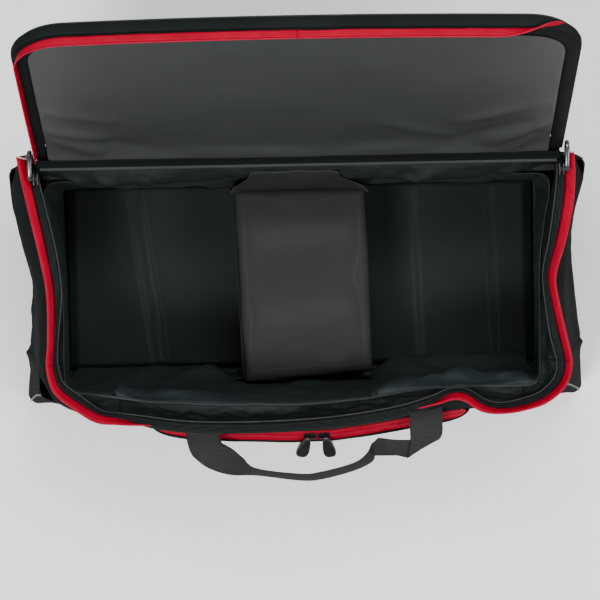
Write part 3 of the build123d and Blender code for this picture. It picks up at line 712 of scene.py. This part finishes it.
# ---------------------------------------------------------------- pads
def pad_block(name, outline, low, high, material, edge, **kind):
    """A closed pad from a grid of top points: crowned top, rounded sides and a flat foot."""
    nu, nv = outline.shape[:2]
    a = np.linspace(-1, 1, nu)[:, None]
    b = np.linspace(-1, 1, nv)[None]
    drop = ramp(np.maximum(np.abs(a), np.abs(b)), 1 - edge, 1.0)
    upper = np.dstack([outline, high - drop * (high - low) * 0.45])
    lower = np.dstack([outline, np.full((nu, nv), low)])
    return two_faced(name, upper, lower, material, **kind)


def bilinear(corners, nu, nv):
    a = np.linspace(0, 1, nu)[:, None, None]
    b = np.linspace(0, 1, nv)[None, :, None]
    p00, p10, p01, p11 = [np.array(c, float) for c in corners]
    return (1 - a) * (1 - b) * p00 + a * (1 - b) * p10 + (1 - a) * b * p01 + a * b * p11


def crease_top(obj, rows):
    """Adds creases to a finished pad's upper side."""
    co = np.array([v.co for v in obj.data.vertices])
    up = np.array([v.normal.z for v in obj.data.vertices])
    co[:, 2] += folds(co[:, 0], co[:, 1], rows) * np.clip(up, 0, 1)
    obj.data.vertices.foreach_set("co", co.ravel())
    obj.data.update()


pad = bilinear([(FLOOR_LOW.x, FLOOR_LOW.y), (FLOOR_HIGH.x, FLOOR_LOW.y), (FLOOR_LOW.x, FLOOR_HIGH.y),
                (FLOOR_HIGH.x, FLOOR_HIGH.y)], 150, 60)
# The floor pad wears the darker copy of the lining nylon, as painted shade.
floor_pad = pad_block("floor_pad_soft", pad, FLOOR_LOW.z, FLOOR_HIGH.z, SHADED_FLOOR_CLOTH, 0.05, replaces=["floor_pad"])
crease_top(floor_pad, (
    (-209, 160, -168, -150, 3.2, -1.5), (-200, 170, -157, -140, 3.2, -0.9),
    (135, 160, 145, -150, 5, -0.4), (225, 160, 235, -150, 5, -0.6),
))
subdivide(floor_pad)

# ---------------------------------------------------------------- divider
TOP_LOW, TOP_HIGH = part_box("divider_top_pad")
corners = [(-0.068, TOP_LOW.y - 6 * MM), (0.0845, TOP_LOW.y + 6 * MM),
           (-0.078, TOP_HIGH.y + 1 * MM), (0.0785, TOP_HIGH.y + 1 * MM)]
divider_top = pad_block("divider_top_soft", bilinear(corners, 60, 80), TOP_LOW.z, TOP_HIGH.z - 1 * MM, DIVIDER_CLOTH,
                        0.06, body="divider", replaces=["divider_top_pad"])
puff(divider_top, 0.7 * MM)
crease_top(divider_top, (
    (-60, 100, 50, 85, 10, -0.14), (-50, 60, 60, 70, 10, 0.16), (-60, 20, 40, 30, 10, -0.14),
    (-50, -30, 60, -20, 10, 0.16), (-55, -75, 50, -60, 10, -0.14), (-20, -90, 60, -85, 10, 0.16),
))
LEG_ROWS, LEG_COLUMNS = 24, 44
for side, sign in (("left", -1), ("right", 1)):
    low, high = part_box(f"divider_leg_{side}")
    ys, zs = np.linspace(low.y, high.y, LEG_COLUMNS), np.linspace(low.z, high.z + 2 * MM, LEG_ROWS)
    leg = np.dstack([np.full((LEG_ROWS, LEG_COLUMNS), high.x if sign > 0 else low.x), *np.meshgrid(ys, zs)])
    leg[..., 0] += np.interp(ys, [low.y, high.y], [6 * MM, 0 if sign > 0 else 1 * MM]) - sign * 2.5 * MM
    swell = hump(np.linspace(0, 1, LEG_ROWS))[:, None] ** 0.5 * hump(np.linspace(0, 1, LEG_COLUMNS)) ** 0.4
    ripple = wave_noise(leg, 24, 9 + sign, (1, 1, 2))
    leg[..., 0] += sign * swell * (1.5 * MM + ripple * 1.6 * MM)
    piece = cloth(f"divider_leg_{side}_soft", leg[::sign], (high.x - low.x) * 0.92, DIVIDER_CLOTH, body="divider",
                  replaces=[f"divider_leg_{side}"])

ys = np.linspace(TOP_LOW.y + 10 * MM, TOP_HIGH.y - 4 * MM, 20)
for side, front_x, back_x in (("right", 79.5, 74.5), ("left", -68.5, -76.5)):
    xs = np.interp(ys, [TOP_LOW.y, TOP_HIGH.y], [front_x * MM, back_x * MM])
    line = np.column_stack([xs, ys, np.full(len(ys), TOP_HIGH.z - 1.2 * MM)])
    stitches(f"divider_stitches_{side}", line, UP, body="divider", slot="divider")

# Rear flap: up the back wall as wide as the divider, then narrowing over the sagging band.
flap_line = smooth_line([
    (TOP_HIGH.y - 1 * MM, TOP_HIGH.z - 4 * MM), (IN_BACK - 5 * MM, TOP_HIGH.z + 10 * MM),
    (IN_BACK - 5 * MM, WALL_TOP - 30 * MM), (IN_BACK - 3 * MM, WALL_TOP + 1 * MM),
    (IN_BACK + 2 * MM, WALL_TOP + 13 * MM), (IN_BACK + 11 * MM, WALL_TOP + 27 * MM),
    (IN_BACK + 17 * MM, WALL_TOP + 34 * MM),
], 60, dims=2)
flap_rows = []
for y, z in flap_line:
    over = ramp(z, WALL_TOP + 2 * MM, WALL_TOP + 32 * MM)
    xs = np.linspace(-0.0775 + 0.023 * over, 0.0775 - 0.033 * over, 41)
    curl = (2.0 + 4.0 * math.exp(-(((z - WALL_TOP) / (7 * MM)) ** 2))) * MM * np.abs(np.linspace(-1, 1, 41)) ** 6
    flap_rows.append(np.column_stack([xs, y - curl, z + 0.8 * curl]))
flap = np.array(flap_rows)
flap[..., 1] += wave_noise(flap, 45, 12) * 1.5 * MM - 1 * MM
sheet("divider_flap_soft", flap, 1.6 * MM, DIVIDER_CLOTH, "laid", ["divider_top_soft"], body="divider",
      replaces=["divider_back_flap"])
HEM_OUT = np.array([0, -0.6, 0.8])
for side, column in (("left", 2), ("right", -3)):
    stitches(f"flap_stitches_{side}", flap[-16:, column] + HEM_OUT * MM, HEM_OUT, body="divider", slot="divider")

# ---------------------------------------------------------------- back band and hinge
BAND_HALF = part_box("back_band")[1].x
SAG_EDGE = ([-291, -257, -183, -75, 80, 150, 231, 262, 291], [146, 134.5, 127.5, 135, 131.5, 129, 133, 141, 147])
SAG_CREASES = (
    (-265, 288, -235, 262, 6, 4), (-225, 286, -205, 262, 6, 3.5), (-285, 284, -270, 266, 6, -3),
    (120, 262, 155, 288, 6, 4.5), (100, 266, 125, 284, 6, -3), (220, 266, 250, 286, 6, 2.5),
)
BAND_COLUMNS, SAG_ROWS = 161, 21
hinge_xs = np.linspace(-BAND_HALF - 4 * MM, BAND_HALF + 4 * MM, BAND_COLUMNS)
rows = []
for x, edge_y in zip(hinge_xs, evened(np.interp(hinge_xs / MM, *SAG_EDGE)) * MM):
    line = smooth_line([
        (HINGE_Y - 1.5 * MM, RIM_Z - 1.5 * MM), (mix(HINGE_Y, edge_y, 0.45), RIM_Z - 8 * MM),
        (edge_y + 1 * MM, RIM_Z - 20 * MM), (edge_y + 0.5 * MM, RIM_Z - 28 * MM),
        (max(edge_y + 3 * MM, IN_BACK + 9 * MM), WALL_TOP + 7 * MM), (IN_BACK + 10 * MM, WALL_TOP + 1 * MM),
    ], SAG_ROWS, dims=2)
    rows.append(np.column_stack([np.full(SAG_ROWS, x), line]))
sag = np.array(rows)
waves = wave_noise(sag, 30, 13, (1, 1, 1.6)) * 2.8 + wave_noise(sag, 75, 19, (0.8, 1, 1.6)) * 1.6
sag[..., 1] -= (waves * MM + folds(sag[..., 0], sag[..., 2], SAG_CREASES)) * hump(np.linspace(0, 1, SAG_ROWS))
sheet("back_facing", sag, 0.8 * MM, FACE_CLOTH, "hung", ["hinge_piping"])

outer = []
for q in np.linspace(-1, 1, BAND_COLUMNS):
    ear = ramp(abs(q), 0.9, 1.0)      # the band's ends rise to the zip's ends
    side = math.copysign(1, q)
    low = np.array([q * 314 * MM, BACK + 0.5 * MM - 3 * MM * ear, WALL_TOP - 1 * MM])
    zip_end = (coil_line[0] if side < 0 else coil_line[-1]) + np.array([-side * 5 * MM, 0, -9 * MM])
    tip = mix(np.array([q * (BAND_HALF + 16 * MM), HINGE_Y, RIM_Z - 2 * MM]), zip_end, ear)
    column = []
    for r in np.linspace(0, 1, 11):
        p = mix(low, tip, r)
        ripple = noise.noise(Vector((p[0] * 15, p[2] * 30, 5.0))) * 2.0 * MM
        column.append(p + np.array([0, (ripple + 1.5 * MM) * hump(r), 0]))
    outer.append(column)
sheet("back_band_soft", np.array(outer), 1.0 * MM, SHELL, "stretched", ["hinge_piping"], replaces=["back_band"])

# Pale tape ends beside the hinge.
for name, end, side in (("left", coil_line[0], -1), ("right", coil_line[-1], 1)):
    ledge = [end + np.array([-side * 10, -3, -8]) * MM, end + np.array([side * 0.5, 0, 0.5]) * MM]
    tube(f"tape_end_{name}", smooth_line(ledge, 6), 0.9 * MM, PALE_THREAD)


def web(name, places, thick, material):
    """Fabric along the hinge through places in its section, curving from the bag to the open lid."""
    line = smooth_line(places, 9) + LID_AXIS
    grid = np.array([line + np.array([x, 0, 0]) for x in hinge_xs])
    obj = cloth(name, grid, thick, material, body=None)
    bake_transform(obj)


web("hinge_web", [(0, 0.5 * MM, 1.8 * MM), *((LID_RUN * a + LID_OUT * b) * MM for a, b in ((2, 2), (5, 4), (9, 6)))],
    0.8 * MM, FACING)
web("hinge_web_outer", [(0, 1.0 * MM, -4 * MM), (0, 9 * MM, -4.5 * MM), LID_RUN * 1 * MM + LID_OUT * 17 * MM,
                        LID_RUN * 5 * MM + LID_OUT * 25.5 * MM],
    0.8 * MM, SHELL)

# ---------------------------------------------------------------- lid
LID_DEPTH = 298 * MM
LID_CORNER = 55 * MM
LID_BOW = 10 * MM        # how much the front edge bows out in the middle
LINING_OUT = 12 * MM
LID_CREASES = (
    (-268, 80, -205, 52, 9, 7), (-262, 55, -215, 22, 9, 6), (-250, 62, -160, 30, 9, -2.5),
    (-268, 125, -190, 95, 9, 4), (264, 78, 205, 26, 9, 8), (255, 45, 225, 14, 9, 6), (250, 82, 170, 34, 9, -3),
    (265, 130, 170, 80, 9, 5), (-130, 24, 20, 17, 9, 2.5), (50, 20, 150, 26, 9, 3), (80, 90, 170, 45, 9, 3),
)


def lid_outline(inset):
    """Half-widths of the lid at each distance from the hinge, and those distances."""
    radius = LID_CORNER - inset
    bend = LID_DEPTH - inset - radius
    runs = np.r_[np.linspace(4 * MM + inset * 0.4, bend, 40), bend + radius * hump(np.linspace(0.04, 0.5, 14))]
    past = np.maximum(runs - bend, 0)
    return runs, LID_HALF - inset - radius + np.sqrt(np.maximum(radius**2 - past**2, 0))


def bowed(x, r):
    return r - LID_BOW * (x / LID_HALF) ** 2 * ramp(r, 0.1, LID_DEPTH)


def lid_crown(x, r, sharp, power=1.0):
    """From 0 at the lid's edges to 1 in its middle; a higher sharp keeps it flat nearer the sides."""
    return math.sin(math.pi * min(max(r / LID_DEPTH, 0), 1)) ** power * (1 - (x / LID_HALF) ** sharp)


def lid_sheet(inset, out_of):
    runs, half = lid_outline(inset)
    grid = []
    for q in np.linspace(-1, 1, 90):
        row = []
        for r, w in zip(runs, half):
            run = bowed(q * half[0], r)
            row.append(lid_point(q * w, run, out_of(q * w, run)))
        grid.append(row)
    return np.array(grid)


def lining_height(x, r):
    """The lid's lining: close to the hinge at its rear edge, crowned, with soft folds in its rear corners."""
    base = LINING_OUT - 8.5 * MM * math.exp(-((r / 0.02) ** 2)) - 3.5 * MM * lid_crown(x, r, 4)
    soft = 1.2 * MM * noise.noise(Vector((x * 14, r * 16, 2.0)))
    return base - float(folds(np.array(x), np.array(r), LID_CREASES)) + soft


def panel_height(x, r):
    return 27.0 * MM + 3.5 * MM * lid_crown(x, r, 6, 0.5) + 1.0 * MM * noise.noise(Vector((x * 12, r * 12, 8.0)))


lid_cloth = cloth("lid_lining_soft", lid_sheet(15 * MM, lining_height), 0.8 * MM, LID_CLOTH, body="lid",
                  replaces=["lid_lining", "lid_foam"])
subdivide(lid_cloth)


def lid_edge(inset, out, count=300):
    """The lid's outline from its rear-left corner round the front to the rear-right one."""
    runs, half = lid_outline(inset)
    left = list(zip(-half, runs))
    front = [(x, runs[-1]) for x in np.linspace(-half[-1], half[-1], 30)[1:-1]]
    right = list(zip(half, runs))[::-1]
    return smooth_line([lid_point(x, bowed(x, r), out) for x, r in left + front + right], count)


edge_out = lid_edge(-0.5 * MM, 0.0)
edge_in = lid_edge(15 * MM, 0.0)
edge_side = unit(edge_out - edge_in)


def edge_strip(places, count):
    """A strip round the lid through places given as an outline, then how far sideways and out, in millimetres."""
    lines = [line + edge_side * a * MM + LID_OUT * b * MM for line, a, b in places]
    return np.array([smooth_line(row, count) for row in zip(*lines)])


border = edge_strip([(edge_in, 0, 11), (edge_in, 5, 10), (edge_in, 11, 11), (edge_out, 0, 13)], 8)
border += LID_OUT * (wave_noise(border, 45, 14) * 1.0 * MM)[..., None]
cloth("lid_border_soft", border, -0.8 * MM, FACING, body="lid", replaces=["lid_border"])
side_wall = edge_strip([(edge_out, 0, 12.5), (edge_out, 1.5, 18), (edge_out, 0.5, 24), (edge_out, -6, 27.5)], 9)
cloth("lid_side_soft", side_wall, -0.8 * MM, SHELL, body="lid", replaces=["lid_binding"])
lid_top = cloth("lid_panel_soft", lid_sheet(5.5 * MM, panel_height), -0.9 * MM, SHELL, body="lid",
                replaces=["lid_panel"])
tube("lid_panel_piping", lid_edge(5.5 * MM, 27.6 * MM), 1.8 * MM, BINDING, body="lid")

# Lid's half of the main zip: leaning out along the left side, upright across the front and folded back
# behind the right side.
ZIP_PLACES = 420
zip_line = lid_edge(4 * MM, 0.0, ZIP_PLACES)
side_dir = unit(zip_line - lid_edge(12 * MM, 0.0, ZIP_PLACES))
turn = np.radians(9 * ramp(-zip_line[:, 0], 0.24, 0.28) + 172 * ramp(zip_line[:, 0], 0.20, 0.283))[:, None]
tape_dir = -LID_OUT * np.cos(turn) + side_dir * np.sin(turn)
low = zip_line + LID_OUT * 12.5 * MM + side_dir * 0.6 * MM
tape = mix(low[:, None], (low + tape_dir * 9.3 * MM)[:, None], ACROSS)
coil = low + tape_dir * 10.2 * MM
first = int(np.argmax((zip_line - LID_AXIS) @ LID_RUN > 13 * MM))
middle = ZIP_PLACES // 2
for name, span in (("left", slice(first, middle + 1)), ("right", slice(middle, ZIP_PLACES - first))):
    pieces = (cloth(f"lid_zip_tape_{name}", tape[span], 0.7 * MM, TAPE, body="lid", replaces=["lid_zip_tape"]),
              beads(f"lid_zip_coil_{name}", coil[span], 1.0 * MM, COIL, body="lid", replaces=["lid_zip_coil"]))
    if name == "right":
        for piece in pieces:
            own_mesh(piece)

# ---------------------------------------------------------------- pocket
POCKET_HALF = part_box("pocket_panel")[1].x
POCKET_DENT = ([-188, -177, -140, -90, -20, 26, 68, 98, 117, 170, 188],
               [13, 11, 6.5, 3, 0.5, 1, 6, 10.5, 13.5, 21, 23])
LOWER_EDGE, ZIP_MIDDLE, UPPER_EDGE = (np.array(place) for place in ((-164.5, 228), (-157.5, 237), (-150.5, 246)))


def pocket_point(x, y, z):
    """A place of the pocket's section at x, pressed towards the wall at its ends and on the right."""
    wall = mix(BASE_FRONT, TOP_FRONT, z / WALL_TOP) - 0.5 * MM
    dent = np.interp(x / MM, *POCKET_DENT) * MM * np.interp(z / MM, [14, 100, 226], [0.35, 0.6, 1.0])
    depth = max(1 - (abs(x) / POCKET_HALF) ** 14, 0) ** 0.5
    return np.array([mix(POCKET_HALF, x, 0.972), mix(wall, y + dent, depth), z])


def pocket_sheet(places, count):
    section = smooth_line(np.array(places) * MM, count, dims=2)
    return np.array([[pocket_point(x, y, z) for y, z in section] for x in pocket_xs])


POCKET_ROWS = 44
pocket_xs = (0.35 * np.sin(np.linspace(-0.5, 0.5, 141) * np.pi) + np.linspace(-0.65, 0.65, 141)) * POCKET_HALF
pocket = pocket_sheet([(-148, 14), (-160, 15), (-168, 28), (-171, 110), (-169, 200), LOWER_EDGE], POCKET_ROWS)
drape = hump(np.linspace(0, 1, POCKET_ROWS)) ** 0.5
pocket[..., 1] += (wave_noise(pocket, 12, 15) * 2.5 + wave_noise(pocket, 30, 20, (1.4, 1, 1)) * 1.4) * MM * drape
sheet("pocket_front_soft", pocket, 1.2 * MM, SHELL, "stretched", ["front_panel"],
      replaces=["pocket_panel", "pocket_gussets"])
cloth("pocket_crown_soft", pocket_sheet([UPPER_EDGE, (-141, 250), (-130, 249)], 9), 1.2 * MM, SHELL,
      replaces=["pocket_top_strip"])

ZIP_END = 184 * MM
END_ROUND = 9 * MM
slope = UPPER_EDGE - LOWER_EDGE
zip_normal = unit(np.array([0, -slope[1], -slope[0]]))


def on_zip(x, edge, q, lift):
    """A place on the pocket's zip, from its middle (q = 0) to an edge (q = 1), and lifted off it."""
    return pocket_point(x, *mix(ZIP_MIDDLE, edge, q) * MM) + zip_normal * lift


zip_xs = np.linspace(-ZIP_END, ZIP_END, 161)
past = np.clip((np.abs(zip_xs) - ZIP_END + END_ROUND) / END_ROUND, 0, 1)
taper = np.sqrt(np.clip(1 - past**2, 0.02, 1))
coil_xs = np.linspace(-ZIP_END + 5 * MM, ZIP_END - 5 * MM, 120)
for name, edge in (("lower", LOWER_EDGE), ("upper", UPPER_EDGE)):
    tape = [[on_zip(x, edge, q * w, 0.9 * MM) for q in np.linspace(0.12, 1.06, 5)] for x, w in zip(zip_xs, taper)]
    cloth(f"pocket_tape_{name}", np.array(tape), 0.7 * MM, TAPE, replaces=[f"pocket_zip_{name}_tape"])
    coil = [on_zip(x, edge, 0.12, 1.3 * MM) for x in coil_xs]
    beads(f"pocket_coil_{name}", np.array(coil), 1.3 * MM, COIL, replaces=["pocket_zip_coil", "pocket_zip_stops"])
    tube(f"pocket_hem_{name}", [on_zip(x, edge, 1, 1.2 * MM) for x in zip_xs[3:-3]], 1.1 * MM, SHELL)

# ---------------------------------------------------------------- zip pulls
# Outline of a grip's rings: its scale, and its depth from the middle as a share of half the thickness.
GRIP_RINGS = [(1.0, 0.0), (0.985, 0.55), (0.93, 0.9), (0.82, 1.0), (0.70, 0.93), (0.62, 0.72), (0.3, 0.68)]
GRIP_HALF = np.array([17.6, 9.2, 2.6]) * MM     # half its length, width and thickness


def grip(name):
    """A moulded rubber pull with a dished face, tied to the slider by a cord loop."""
    pts = np.array([v.co for v in frame["nodes"][name].data.vertices])
    hinge = joint("child", name)
    pivot = np.array(hinge["pos_m"])
    centre = pts.mean(0)
    length_dir = unit(np.linalg.svd(pts - centre)[2][0])
    if (centre - pivot) @ length_dir < 0:
        length_dir = -length_dir
    thin_dir = unit(np.cross(length_dir, np.array(hinge["axis"], float)))
    axes = np.array([length_dir, np.cross(thin_dir, length_dir), thin_dir])
    start = ((pts - pivot) @ length_dir).max() - 33 * MM
    turn = np.linspace(0, 2 * np.pi, 40, endpoint=False)
    x, y = (np.copysign(np.abs(part) ** 0.75, part) for part in (np.cos(turn), np.sin(turn)))
    y *= 0.74 + 0.26 * x
    rings = []
    for scale, depth in [(s, -d) for s, d in GRIP_RINGS[::-1]] + GRIP_RINGS[1:]:
        local = np.column_stack([x * scale, y * scale, np.full(len(x), depth)]) * GRIP_HALF
        rings.append(pivot + length_dir * (start + 16.5 * MM) + local @ axes)
    subdivide(ring_stack(name + "_grip", np.array(rings), RUBBER, body=name, replaces=[name]))
    for strand, side in (("a", -1), ("b", 1)):
        places = np.array([(-1.6, 0, 0), (-0.6, side * 0.5, side * 1.6), (4, side * 1.0, side * 1.1),
                           (start / MM + 3, side * 1.2, 0)]) * MM
        tube(f"{name}_cord_{strand}", smooth_line(pivot + places @ axes, 20), 0.75 * MM, RUBBER, body=name)


for place in ("pocket", "main"):
    for side in ("left", "right"):
        grip(f"{place}_pull_{side}")

# ---------------------------------------------------------------- handle
# Webbing strap as its two edges, from the left root to the right root. It creases under the left root
# and folds over itself below the right one.
STRAP = [
    ((-131, -138, 264), (-95, -139, 264)), ((-131.5, -148, 262), (-95, -150, 262)),
    ((-130, -162, 256.5), (-93.5, -157, 257)), ((-127, -172.5, 250), (-91.5, -162.5, 252)),
    ((-123, -179, 243), (-88, -165, 249)), ((-108, -193, 226), (-79, -171, 247)),
    ((-84, -203, 211), (-69, -181, 240)), ((-54, -205, 205), (-54, -193, 242)),
    ((-5, -211.5, 206), (-5, -200, 243)), ((19.5, -210.5, 207), (19, -198, 244)),
    ((56, -201, 210), (55, -188.5, 247)), ((76, -191, 215), (70, -178, 250)),
    ((79, -182, 225), (76, -169, 240)), ((81, -182, 226), (80, -164, 249)),
    ((84, -182, 226.5), (84.5, -160, 252)), ((98, -182, 228), (100, -162, 252)),
    ((106, -182, 230), (118, -163, 250)), ((115, -185, 233), (138, -162, 243)),
    ((117, -186, 236), (152, -164, 242)), ((117.5, -184, 240), (153.5, -163, 246)),
    ((120, -165, 252), (156, -154.5, 256)), ((119, -145, 262), (156, -138, 263)),
    ((119, -127, 263.5), (156.5, -122, 264)),
]
strap = smooth_line(np.array([[*a, *b] for a, b in STRAP]) * MM, 170, dims=6)
width_share = np.linspace(0, 1, 13)
ribbon = mix(strap[:, None, :3], strap[:, None, 3:], width_share[None, :, None])
cup = hump(width_share) * (1 + 0.6 * wave_noise(ribbon, 14, 21))
ribbon = ribbon + grid_normals(ribbon) * (cup * 1.0 * MM)[..., None]
handle = cloth("handle_strap", ribbon, 2.0 * MM, WEBBING, body=None, replaces=["handle", "handle_anchor_tabs"])
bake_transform(handle)

# ---------------------------------------------------------------- camera, light and floor
TILT = math.radians(4.5)
ROLL = math.radians(1.1)
DISTANCE = 3.0
target = Vector((-1.1 * MM, 0, 0.290))
view_back = Vector((0, math.sin(TILT), math.cos(TILT)))
camera = bpy.data.objects.new("camera", bpy.data.cameras.new("camera"))
camera.data.lens = 162.9
camera.data.sensor_width = 36
camera.location = target + view_back * DISTANCE
level = Vector((1, 0, 0))
right = level * math.cos(ROLL) - view_back.cross(level) * math.sin(ROLL)
camera.rotation_euler = Matrix((right, view_back.cross(right), view_back)).transposed().to_euler()
scene.collection.objects.link(camera)
scene.camera = camera


def area_light(name, place, size, power):
    lamp = bpy.data.objects.new(name, bpy.data.lights.new(name, "AREA"))
    lamp.data.shape = "RECTANGLE"
    lamp.data.size, lamp.data.size_y = size
    lamp.data.energy = power
    lamp.location = place
    lamp.rotation_euler = (Vector((0, 0, 0.15)) - Vector(place)).to_track_quat("-Z", "Y").to_euler()
    scene.collection.objects.link(lamp)


area_light("key", (-0.8, -1.0, 2.5), (0.7, 0.6), 62)
area_light("fill", (1.3, -0.6, 2.3), (1.0, 0.8), 30)
area_light("top", (0.3, 1.1, 2.5), (1.4, 0.7), 50)
world = bpy.data.worlds.new("studio")
world.use_nodes = True
world.node_tree.nodes["Background"].inputs["Color"].default_value = (1, 1, 1, 1)
world.node_tree.nodes["Background"].inputs["Strength"].default_value = 0.55
scene.world = world

FLOOR_HALF, FLOOR_Z = 6.0, -0.5 * MM
floor_mesh = bpy.data.meshes.new("floor")
floor_mesh.from_pydata([(x * FLOOR_HALF, y * FLOOR_HALF, FLOOR_Z) for x, y in ((-1, -1), (1, -1), (1, 1), (-1, 1))],
                       [], [(0, 1, 2, 3)])
floor = bpy.data.objects.new("floor", floor_mesh)
floor_mesh.materials.append(new_material("floor_paper", None, (0.92, 0.92, 0.92), 0.9, 0.1)[0])
scene.collection.objects.link(floor)
